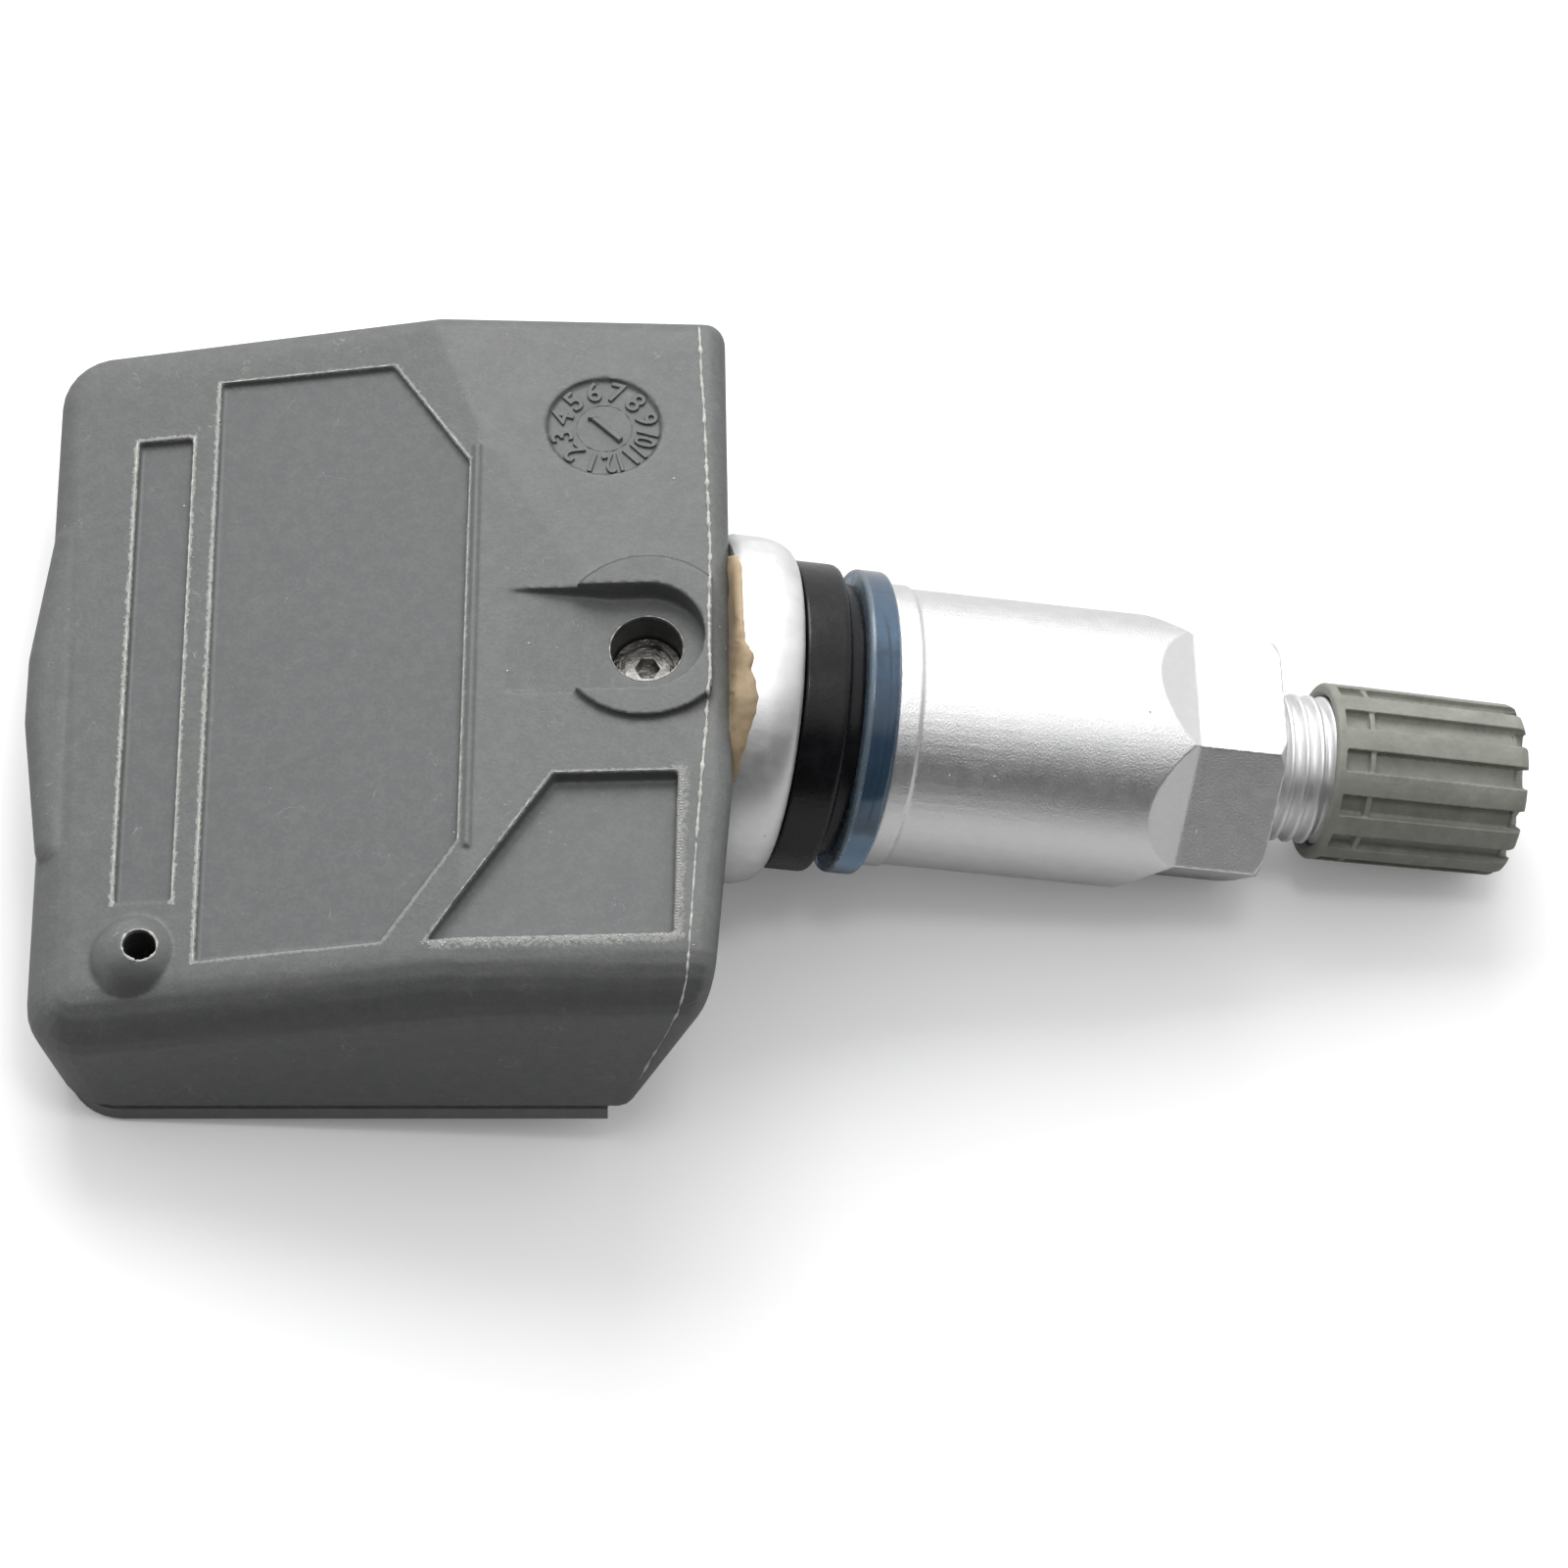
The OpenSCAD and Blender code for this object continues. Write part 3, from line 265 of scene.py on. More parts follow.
def moulded(name, dark, light, worn, rough, grain=5200.0, mottle=420.0, depth=0.012, wear=0.5, values=None):
    """Moulded plastic or rubber: two tones mottled together, scuffs, and a grain depth mm deep."""
    made, tree, skin = plain_material(name, values or {})
    grained = put(tree, "ShaderNodeGroup", {"Grain": grain, "Mottle": mottle}, node_tree=moulded_skin).outputs
    tone = blend_colour(tree, grained["Mottle"], (*dark, 1), (*light, 1))
    faint = spread(tree, grained["Height"], *FAINT_SPAN, 0.0, FAINT)
    tone = blend_colour(tree, faint, tone, (*worn, 1))
    scuffed = spread(tree, grained["Scuffs"], 0.0, 1.0, 0.0, wear)
    tone = blend_colour(tree, scuffed, tone, (*worn, 1))
    finish_skin(tree, skin, tone, grained["Mottle"], rough, MOULDED_VARIES, grained["Height"], depth)
    return made


def settle(piece):
    """Turns a piece's modifiers into its mesh."""
    graph = bpy.context.evaluated_depsgraph_get()
    mesh = bpy.data.meshes.new_from_object(piece.evaluated_get(graph), depsgraph=graph)
    piece.modifiers.clear()
    spent, piece.data = piece.data, mesh
    bpy.data.meshes.remove(spent)


QUICK_COARSER, EASE = 2.0, 0.5


def softened(node_name, name, voxel, relax, most):
    """A copy of a node with its edges rounded as by a mould: remeshed, relaxed and thinned out."""
    mesh = nodes[node_name].data.copy()
    mesh.materials.clear()
    piece = bpy.data.objects.new(name, mesh)
    scene.collection.objects.link(piece)
    cells = piece.modifiers.new("cells", "REMESH")
    cells.mode = "VOXEL"
    cells.voxel_size = voxel * MM * 1.0
    eased = piece.modifiers.new("eased", "SMOOTH")
    eased.factor, eased.iterations = EASE, relax
    settle(piece)
    triangles = 2 * len(piece.data.polygons)
    if triangles > most:
        piece.modifiers.new("thinned", "DECIMATE").ratio = most / triangles
        settle(piece)
    piece.data.shade_smooth()
    return piece


HOUSING_DARK, HOUSING_LIGHT = (0.114, 0.120, 0.117), (0.130, 0.136, 0.133)
HOUSING_WORN = (0.42, 0.42, 0.40)
housing_plastic = moulded("housing_plastic", HOUSING_DARK, HOUSING_LIGHT, HOUSING_WORN, 0.52, depth=0.018)
panel_floor = moulded("panel_floor", (0.103, 0.110, 0.111), (0.117, 0.124, 0.126), HOUSING_WORN, 0.50,
                      depth=0.007, wear=0.35)
housing = softened("housing", "housing_shell", voxel=0.11, relax=1, most=198000)
housing.data.materials.append(housing_plastic)
housing.data.materials.append(panel_floor)
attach(housing, "sensor")
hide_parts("housing")


def faces_of(name):
    """A node's surface, ready for rays."""
    solid = nodes[name].data
    points = [v.co[:] for v in solid.vertices]
    return BVHTree.FromPolygons(points, [p.vertices[:] for p in solid.polygons])


housing_faces = faces_of("housing")
PLUMB_FROM = 40


def on_deck(x, y):
    """Where a plumb line over (x, y) meets the housing, and the way the surface faces there."""
    spot, facing, _, _ = housing_faces.ray_cast(in_housing(x, y, PLUMB_FROM), -housing_up)
    return spot, facing


def under_pixel(px, py, faces=housing_faces):
    """Where the photograph's pixel lies on the housing, or on another node's faces."""
    middle = PHOTO_SIDE / 2
    way = (housing_right * (px - middle) - camera_up * (py - middle)) / PHOTO_FOCAL - camera_back
    spot, facing, _, _ = faces.ray_cast(camera_place, way.normalized())
    return spot, facing


# The floors of the label panel, number strip and pocket take the smoother finish, and the rims
# around them are rubbed pale in ragged bands
LABEL_EDGE = [(-22.2, 16.85), (-13.2, 16.75), (-9.15, 10.6), (-9.25, -11.1), (-12.9, -16.3), (-22.1, -16.4)]
STRIP_EDGE = [(-26.4, 13.85), (-23.6, 13.75), (-23.5, -12.95), (-26.35, -12.75)]
POCKET_EDGE = [(-10.6, -16.5), (-4.5, -7.6), (1.65, -7.6), (1.5, -16.5)]


def inside(outline, x, y):
    """Whether a point lies within a closed outline."""
    odd = False
    for (x0, y0), (x1, y1) in zip(outline, outline[1:] + outline[:1]):
        if (y0 > y) != (y1 > y) and x < (x1 - x0) * (y - y0) / (y1 - y0) + x0:
            odd = not odd
    return odd


def to_housing(point):
    """The housing's own x, y and z of a point, in mm."""
    p = (point - housing_origin) / MM
    return p.dot(housing_right), p.y, p.dot(housing_up)


FLOOR_ABOVE, FLOOR_LEVEL = 6.5, 0.9
for face in housing.data.polygons:
    if face.normal.dot(housing_up) > FLOOR_LEVEL:
        x, y, z = to_housing(face.center)
        if z > FLOOR_ABOVE and any(inside(edge, x, y) for edge in (LABEL_EDGE, STRIP_EDGE, POCKET_EDGE)):
            face.material_index = 1


def outward(corners, gap):
    """The outline moved out by gap, so that a line over it meets the rim and not the floor."""
    cx = sum(x for x, _ in corners) / len(corners)
    cy = sum(y for _, y in corners) / len(corners)
    return [(x + math.copysign(gap, x - cx), y + math.copysign(gap, y - cy)) for x, y in corners]


# Mask of a ragged band round the straight line from A to B
RAGGED_SCALE, RAGGED = 4600.0, 0.75
edge_rub, place, given, result = new_group(
    "edge_rub", [("A", (0, 0, 0)), ("B", (0, 0, 1)), ("Width", 0.0004)], ["Mask"])
from_a = vectors(edge_rub, "SUBTRACT", place, given["A"])
a_to_b = vectors(edge_rub, "SUBTRACT", given["B"], given["A"])
reached = vectors(edge_rub, "DOT_PRODUCT", from_a, a_to_b, gives="Value")
whole = vectors(edge_rub, "DOT_PRODUCT", a_to_b, a_to_b, gives="Value")
share = maths(edge_rub, "DIVIDE", reached, whole, clamp=True)
nearest = vectors(edge_rub, "SCALE", a_to_b, scale=share)
away = vectors(edge_rub, "DISTANCE", from_a, nearest, gives="Value")
ragged = clouds(edge_rub, place, RAGGED_SCALE, 3.0, Roughness=0.75)
shifted = spread(edge_rub, ragged, 0.3, 0.7, -RAGGED, RAGGED)
reach = maths(edge_rub, "MULTIPLY_ADD", shifted, given["Width"], away)
half = maths(edge_rub, "MULTIPLY", given["Width"], 0.5)
edge_rub.links.new(spread(edge_rub, reach, half, given["Width"], 1.0, 0.0), result["Mask"])

RIM_GAP, POCKET_END_GAP, RUBBED_COLOUR = 0.10, 0.6, (0.50, 0.50, 0.48, 1)
label_rim = outward(LABEL_EDGE, RIM_GAP)
strip_rim = outward(STRIP_EDGE, RIM_GAP)
pocket_rim = outward(POCKET_EDGE, RIM_GAP)
pocket_end = (pocket_rim[0][0] + POCKET_END_GAP, pocket_rim[0][1])
# Corners of each rubbed rim, width of its band in mm, and how strongly it is rubbed
RUBBED = [
    ([label_rim[5], label_rim[0]], 0.15, 0.55), (label_rim[0:3], 0.12, 0.40),
    (label_rim[2:4], 0.11, 0.28), (label_rim[3:6], 0.12, 0.30),
    ([strip_rim[3], strip_rim[0], strip_rim[1]], 0.16, 0.60), (strip_rim[1:3], 0.15, 0.60),
    (pocket_rim[0:3], 0.12, 0.35), (pocket_rim[2:4], 0.42, 0.32), ([pocket_rim[3], pocket_end], 0.45, 0.38)]
paint = housing_plastic.node_tree
skin = paint.nodes["Principled BSDF"]
rubbed = 0.0
for corners, width, strength in RUBBED:
    for a, b in zip(corners, corners[1:]):
        band = put(paint, "ShaderNodeGroup", {
            "A": on_deck(*a)[0], "B": on_deck(*b)[0], "Width": width * MM}, node_tree=edge_rub)
        paler = maths(paint, "MULTIPLY", band.outputs["Mask"], strength)
        rubbed = maths(paint, "MAXIMUM", paler, rubbed)
tone = skin.inputs["Base Color"].links[0].from_socket
tone = blend_colour(paint, rubbed, tone, RUBBED_COLOUR)

# Mask of a thin ring on the lip's top edge, round the screw hole's axis, where a dark line of painted shade
# is laid
LIP_TOP_SPAN = (-0.0004, -0.0002)
lip_shade_line, place, given, result = new_group(
    "lip_shade_line", [("Centre", (0, 0, 0)), ("Upward", (0, 0, 1)), ("Radius", 0.005), ("Width", 0.0001)],
    ["Mask"])
offset = vectors(lip_shade_line, "SUBTRACT", place, given["Centre"])
above = vectors(lip_shade_line, "DOT_PRODUCT", offset, given["Upward"], gives="Value")
plumb = vectors(lip_shade_line, "SCALE", given["Upward"], scale=above)
radial = vectors(lip_shade_line, "DISTANCE", offset, plumb, gives="Value")
astray = maths(lip_shade_line, "ABSOLUTE", maths(lip_shade_line, "SUBTRACT", radial, given["Radius"]))
near = spread(lip_shade_line, maths(lip_shade_line, "DIVIDE", astray, given["Width"]), 0.4, 1.0, 1.0, 0.0)
on_top = spread(lip_shade_line, above, *LIP_TOP_SPAN)
lip_shade_line.links.new(maths(lip_shade_line, "MULTIPLY", near, on_top), result["Mask"])
LIP_R, LIP_TOP_IN, LIP_LINE_INSET, LIP_LINE_WIDTH, LIP_SHADE_STRENGTH = 4.6, 0.3, 0.06, 0.13, 0.55
LIP_SHADE_COLOUR = (0.02, 0.021, 0.021, 1)
lip_top = LIP_R - LIP_TOP_IN
lip_shade_band = put(paint, "ShaderNodeGroup", {
    "Centre": on_deck(0, lip_top)[0] - across * lip_top * MM, "Upward": housing_up,
    "Radius": (LIP_R - LIP_LINE_INSET) * MM, "Width": LIP_LINE_WIDTH * MM}, node_tree=lip_shade_line)
# A dark line of painted shade along the lip's outer top edge
shaded = maths(paint, "MULTIPLY", lip_shade_band.outputs["Mask"], LIP_SHADE_STRENGTH)
tone = blend_colour(paint, shaded, tone, LIP_SHADE_COLOUR)

# The front fillet is painted darker where it faces front and up: painted shade, as the sky is dark low in
# front
FILLET_FACING, FILLET_SPAN, FILLET_SHADE_STRENGTH = (housing_up - across).normalized(), (0.78, 0.97), 0.42
FILLET_SHADE_COLOUR = (0.030, 0.031, 0.030, 1)
facing_out = put(paint, "ShaderNodeTexCoord").outputs["Normal"]
toward = vectors(paint, "DOT_PRODUCT", facing_out, FILLET_FACING, gives="Value")
fillet_painted_shade = spread(paint, toward, *FILLET_SPAN, 0.0, FILLET_SHADE_STRENGTH, smooth=True)
paint.links.new(blend_colour(paint, fillet_painted_shade, tone, FILLET_SHADE_COLOUR), skin.inputs["Base Color"])

# The bores of the screw hole and of the pressure port are smoother, and their walls below the rim are painted
# dark: painted shade down in the holes
NIPPLE, PORT_R, ACCESS_R = (-24.8, -15.75), 0.8, 1.8
BORE_BELOW, BORE_BEYOND, BORE_RIM_GAP = 0.15, 0.08, 0.2
bore_painted_shade = moulded("bore_painted_shade", (0.035, 0.037, 0.036), (0.05, 0.052, 0.051), (0.2, 0.2, 0.19), 0.42,
                      depth=0.006)
housing.data.materials.append(bore_painted_shade)
bores = []
for x, y, radius in ((0, 0, ACCESS_R), (*NIPPLE, PORT_R)):
    rim_z = to_housing(on_deck(x, y + radius + BORE_RIM_GAP)[0])[2]
    bores.append((x, y, radius, rim_z))
for face in housing.data.polygons:
    x, y, z = to_housing(face.center)
    for bore_x, bore_y, radius, rim_z in bores:
        if math.hypot(x - bore_x, y - bore_y) < radius + BORE_BEYOND and z < rim_z - BORE_BELOW:
            face.material_index = 2

# Worn rims and flash line
# Where two halves of the mould met, a thin crumbly line of flash stands on the valve end. The rims
# of the panels and holes are rubbed up in ragged ridges, and grains of the plastic lie on the deck.
worn_plastic = moulded("worn_plastic", (0.30, 0.30, 0.285), (0.66, 0.66, 0.62), (0.75, 0.75, 0.72), 0.6,
                       grain=7000.0, mottle=1900.0, depth=0.02)


def wave(x, y, z):
    """Smooth noise, about -1 to 1."""
    return noise.noise(Vector((x, y, z)))


class Strands:
    """Collects thin ridges and grains, and makes one mesh of them."""

    RIDGE_SIDES, GRAIN_SIDES = 6, 6
    SWELL_LEAST, SWELL_USUAL, SWELL_VARIES, END_SWELL = 0.22, 0.75, 1.1, 0.2
    WANDER, GRAIN_VARIES, GRAIN_RISE, GRAIN_SUNK, GRAIN_FOOT = 0.35, 0.5, 0.6, 0.01, 0.03

    def __init__(self):
        self.points, self.faces = [], []

    def ridge(self, path, width, rise, seed, closed=False):
        """Adds a ridge along a path of (place, facing), which swells and thins on its way."""
        sides = self.RIDGE_SIDES
        first = len(self.points)
        count = len(path)
        for i, (spot, facing) in enumerate(path):
            before = path[i - 1][0] if i or closed else spot
            after = path[(i + 1) % count][0] if i + 1 < count or closed else spot
            along = (after - before).normalized()
            side = facing.cross(along).normalized()
            n = wave(i * 0.37, seed * 7.3, 0) + 0.6 * wave(i * 1.1, seed * 3.1, 5)
            swell = max(self.SWELL_LEAST, self.SWELL_USUAL + self.SWELL_VARIES * n)
            shift = side * self.WANDER * width * wave(i * 0.23, seed, 9) * MM
            if not closed and i in (0, count - 1):
                swell *= self.END_SWELL
            for k in range(sides):
                turn = 2 * math.pi * k / sides
                self.points.append(spot + shift + (side * math.cos(turn) * width * swell
                                                   + facing * math.sin(turn) * rise * swell) * MM)
        rings = count if closed else count - 1
        for i in range(rings):
            a, b = first + i * sides, first + (i + 1) % count * sides
            for k in range(sides):
                j = (k + 1) % sides
                self.faces.append((a + k, a + j, b + j, b + k))
        if not closed:
            self.faces.append(tuple(first + k for k in reversed(range(sides))))
            self.faces.append(tuple(first + (count - 1) * sides + k for k in range(sides)))

    def grain(self, spot, facing, size, seed):
        """Adds a flattened crumb on the surface."""
        side = facing.orthogonal().normalized()
        other = facing.cross(side)
        first = len(self.points)
        ring = self.GRAIN_SIDES
        sunk = facing * self.GRAIN_SUNK * MM
        for k in range(ring):
            turn = 2 * math.pi * k / ring
            reach = size * (1 + self.GRAIN_VARIES * wave(k * 1.7, seed * 2.9, 1))
            self.points.append(spot + (side * math.cos(turn) + other * math.sin(turn)) * reach * MM - sunk)
        self.points.append(spot + facing * self.GRAIN_RISE * size * MM)
        self.points.append(spot - facing * self.GRAIN_FOOT * MM)
        for k in range(ring):
            j = (k + 1) % ring
            self.faces.append((first + k, first + j, first + ring))
            self.faces.append((first + j, first + k, first + ring + 1))

    def make(self, name, skin):
        """One piece of all that was added."""
        mesh = bpy.data.meshes.new(name)
        mesh.from_pydata(self.points, [], self.faces)
        mesh.materials.append(skin)
        mesh.shade_smooth()
        piece = bpy.data.objects.new(name, mesh)
        scene.collection.objects.link(piece)
        return piece


def stepped(corners, step):
    """Points every step along straight lines between the corners."""
    points = []
    for (x0, y0), (x1, y1) in zip(corners, corners[1:]):
        count = max(1, round(math.hypot(x1 - x0, y1 - y0) / step))
        points += [(x0 + (x1 - x0) * i / count, y0 + (y1 - y0) * i / count) for i in range(count)]
    return points + [corners[-1]]


def arc(cx, cy, r, start, end, step):
    """Points round a circle, in degrees, from start to end."""
    count = max(3, round(abs(end - start) * math.pi / 180 * r / step))
    turns = [math.radians(start + (end - start) * i / count) for i in range(count + 1)]
    return [(cx + r * math.cos(turn), cy + r * math.sin(turn)) for turn in turns]


def deck_path(points):
    """Each point's place on the housing and the way the surface faces there."""
    path = [on_deck(x, y) for x, y in points]
    return [(spot, facing) for spot, facing in path if spot is not None]


rims = Strands()
RIDGE_STEP, HOLE_STEP, HOLE_GAP, PORT_STEP, PORT_GAP = 0.13, 0.12, 0.06, 0.09, 0.07
# Corners of each ridge, its width in mm and its rise in mm
RIDGES = [
    ([label_rim[5], label_rim[0]], 0.045, 0.035), (label_rim[0:3], 0.035, 0.025),
    (label_rim[2:4], 0.03, 0.02), ([strip_rim[3], strip_rim[0]], 0.06, 0.045),
    (strip_rim[1:3], 0.05, 0.035), (pocket_rim[0:3], 0.03, 0.02)]
for seed, (corners, width, rise) in enumerate(RIDGES):
    rims.ridge(deck_path(stepped(corners, RIDGE_STEP)), width, rise, seed + 1)
hole_edge = deck_path(arc(0, 0, ACCESS_R + HOLE_GAP, 0, 360, HOLE_STEP))
rims.ridge(hole_edge, width=0.03, rise=0.02, seed=21)
port_edge = deck_path(arc(*NIPPLE, PORT_R + PORT_GAP, 0, 350, PORT_STEP))
rims.ridge(port_edge, width=0.075, rise=0.06, seed=31, closed=True)
# Where the flash line runs in the photograph, from the back of the valve end down to the front
FLASH_PIXELS = [
    (713, 323), (715, 352), (716, 384), (719, 420), (721, 468), (723, 519), (725, 560), (724, 610),
    (724, 650), (725, 684), (722, 716), (721, 742), (717, 783), (714, 820), (711, 860), (708, 904),
    (705, 947), (703, 975), (701, 1000), (697, 1018), (692, 1034), (679, 1058), (664, 1082), (652, 1104)]
FLASH_CORNER_ROW, FLASH_HOP = 860, 2.6
flash_line, fillet_line = [], []
for (ax, ay), (bx, by) in zip(FLASH_PIXELS, FLASH_PIXELS[1:]):
    hops = max(2, round(math.hypot(bx - ax, by - ay) / FLASH_HOP))
    for i in range(hops):
        spot, facing = under_pixel(ax + (bx - ax) * i / hops, ay + (by - ay) * i / hops)
        if spot is not None:
            (flash_line if ay < FLASH_CORNER_ROW else fillet_line).append((spot, facing))
rims.ridge(flash_line, width=0.11, rise=0.10, seed=40)
rims.ridge(fillet_line, width=0.06, rise=0.06, seed=41)
# Column and row of each loose grain in the photograph, and its size in mm
GRAIN_PIXELS = [
    (540, 657, 0.10), (569, 662, 0.07), (518, 685, 0.09), (688, 489, 0.11), (660, 504, 0.05),
    (672, 507, 0.04), (464, 850, 0.09), (462, 832, 0.05), (222, 470, 0.05), (224, 430, 0.07),
    (188, 517, 0.11), (197, 569, 0.06), (66, 537, 0.05), (238, 702, 0.03), (276, 805, 0.04),
    (262, 911, 0.04), (553, 830, 0.05), (70, 622, 0.05), (735, 640, 0.06), (741, 662, 0.05),
    (300, 1083, 0.05), (210, 1092, 0.04), (708, 965, 0.07), (712, 951, 0.06)]
for seed, (px, py, size) in enumerate(GRAIN_PIXELS):
    spot, facing = under_pixel(px, py)
    if spot is not None:
        rims.grain(spot, facing, size, seed)
# Crumbs outside the pocket, along its rubbed front and end rims
CRUMB_STEP, CRUMBS, CRUMB_REACH, CRUMB_SIZE, CRUMB_VARIES = 0.16, 3, 0.45, 0.05, 0.08
FRONT_RIM_Y, CRUMB_LEVEL = -16.4, 0.8
for i, (x, y) in enumerate(stepped([pocket_rim[2], pocket_rim[3], pocket_rim[0]], CRUMB_STEP)):
    on_front = y <= FRONT_RIM_Y
    for k in range(CRUMBS):
        dx = CRUMB_REACH * wave(i * 0.9, k * 5.1, 3)
        dy = CRUMB_REACH * wave(i * 0.7, k * 3.7, 8)
        spot, facing = on_deck(x + (dx if on_front else abs(dx)), y - (abs(dy) if on_front else 0.0))
        if spot is not None and facing.dot(housing_up) > CRUMB_LEVEL:
            size = CRUMB_SIZE + CRUMB_VARIES * abs(wave(i * 1.3, k, 1))
            rims.grain(spot, facing, size, i + k)
worn_rims = rims.make("worn_rims", worn_plastic)
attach(worn_rims, "sensor")

# Date roundel
# A round insert in the mould leaves a sunk dial in the housing's plastic: the numbers 1 to 12
# and a pointer in a ring, all of them raised a little from its floor.
ROUNDEL, ROUNDEL_R, DIAL_BEYOND, DIAL_LIFT, DIAL_LEVEL = (-2.3, 12.8), 2.95, 0.1, 0.12, 0.3
roundel_floor, roundel_facing = on_deck(*ROUNDEL)
dial_floor = moulded("dial_floor", (0.078, 0.084, 0.084), (0.105, 0.112, 0.112), HOUSING_WORN, 0.48,
                     depth=0.006, wear=0.2)
housing.data.materials.append(dial_floor)
dial_reach, dial_top = (ROUNDEL_R + DIAL_BEYOND) * MM, DIAL_LIFT * MM
for face in housing.data.polygons:
    offset = face.center - roundel_floor
    on_floor = offset.length < dial_reach and offset.dot(roundel_facing) < dial_top
    if on_floor and face.normal.dot(housing_up) > DIAL_LEVEL:
        face.material_index = 3
dial_x = (housing_right - roundel_facing * housing_right.dot(roundel_facing)).normalized()
dial_y = roundel_facing.cross(dial_x)


def on_dial(r, turn, lift=0.0):
    """A point r mm from the dial's middle and lift mm above its floor."""
    outward_way = dial_x * math.cos(turn) + dial_y * math.sin(turn)
    return roundel_floor + outward_way * r * MM + roundel_facing * lift * MM


dial = bmesh.new()
NUMBER_R, NUMBER_SIZE, MARK_RISE, MARK_BEVEL, MARK_CUTS = 2.17, 1.6, 0.11, 0.03, 3
PAIR_SQUEEZE, PAIR_SPACING, ZERO_TURN, HOUR_TURN = 0.8, 0.85, 285, 30
for number in range(1, 13):
    letters = bpy.data.curves.new("number", "FONT")
    letters.body = str(number)
    letters.size, letters.extrude = NUMBER_SIZE * MM, MARK_RISE * MM
    letters.bevel_depth, letters.resolution_u = MARK_BEVEL * MM, MARK_CUTS
    letters.align_x = letters.align_y = "CENTER"
    if number > 9:
        letters.space_character = PAIR_SPACING
    holder = bpy.data.objects.new("number", letters)
    scene.collection.objects.link(holder)
    turn = math.radians(ZERO_TURN - HOUR_TURN * number)
    radial = (on_dial(1, turn) - roundel_floor).normalized()
    sideways = radial.cross(roundel_facing) * (PAIR_SQUEEZE if number > 9 else 1.0)
    stand = Matrix((sideways, radial, roundel_facing)).transposed().to_4x4()
    stand.translation = on_dial(NUMBER_R, turn)
    graph = bpy.context.evaluated_depsgraph_get()
    mesh = bpy.data.meshes.new_from_object(holder.evaluated_get(graph), depsgraph=graph)
    mesh.transform(stand)
    dial.from_mesh(mesh)
    bpy.data.meshes.remove(mesh)
    bpy.data.objects.remove(holder)
dial_marks = Strands()
RING_R, RING_POINTS, RING_SUNK = 1.42, 72, 0.01
ring_path = [(on_dial(RING_R, 2 * math.pi * i / RING_POINTS, -RING_SUNK), roundel_facing)
             for i in range(RING_POINTS)]
dial_marks.ridge(ring_path, width=0.04, rise=0.05, seed=50, closed=True)
POINTER_TURN, BAR_HALF, BAR_RISE, BAR_BEVEL, BAR_SUNK = math.radians(135), 0.15, 0.22, 0.05, 0.05


def raised_bar(a, b, half):
    """A bar with sloped sides, standing on the dial from a to b."""
    along = (b - a).normalized()
    side = roundel_facing.cross(along)
    rings = []
    for inset, rise in ((0.0, -BAR_SUNK), (0.0, BAR_RISE - BAR_BEVEL), (BAR_BEVEL, BAR_RISE)):
        ring = []
        for end, x, y in ((a, -1, -1), (b, 1, -1), (b, 1, 1), (a, -1, 1)):
            shift = along * x * (-inset) + side * y * (half - inset) + roundel_facing * rise
            ring.append(dial.verts.new(end + shift * MM))
        rings.append(ring)
    for low, high in zip(rings, rings[1:]):
        for k in range(4):
            dial.faces.new((low[k], low[(k + 1) % 4], high[(k + 1) % 4], high[k])).material_index = 1
    dial.faces.new(rings[-1]).material_index = 1


POINTER_TOP_R, POINTER_FOOT_R, POINTER_LEAN = 0.80, 1.15, 0.06
SERIF_LEFT, SERIF_RIGHT, SERIF_SHARE = 0.28, 0.26, 0.6
pointer_top = on_dial(POINTER_TOP_R, POINTER_TURN)
pointer_foot = on_dial(POINTER_FOOT_R, POINTER_TURN + math.pi + POINTER_LEAN)
raised_bar(pointer_top, pointer_foot, BAR_HALF)
raised_bar(pointer_top - dial_x * SERIF_LEFT * MM, pointer_top + dial_x * SERIF_RIGHT * MM,
           BAR_HALF * SERIF_SHARE)
bmesh.ops.recalc_face_normals(dial, faces=dial.faces)
dial_mesh = bpy.data.meshes.new("dial_marks")
dial.to_mesh(dial_mesh)
dial.free()
dial_mesh.materials.append(dial_floor)
dial_mesh.materials.append(housing_plastic)
dial_numbers = bpy.data.objects.new("dial_numbers", dial_mesh)
scene.collection.objects.link(dial_numbers)
dial_ring = dial_marks.make("dial_ring", housing_plastic)
for piece in (dial_numbers, dial_ring):
    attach(piece, "sensor")

# Base cover
# A flat plate moulded in the same plastic closes the housing from below, with a plug rim that
# sits inside it. Only the plate's edge shows.


def dress(name, skin):
    """Gives a CAD node its finish."""
    solid = nodes[name].data
    solid.materials.clear()
    solid.materials.append(skin)


dress("base_cover", moulded("cover_plastic", (0.135, 0.142, 0.138), (0.175, 0.182, 0.177), HOUSING_WORN,
                            0.55))

# Electronics
# Inside: a green board with its chips, a coin cell between welded tabs, a wake-up coil on a
# ferrite core, a bent strip aerial, and a rubber seal that leads the port's air to the sensor.

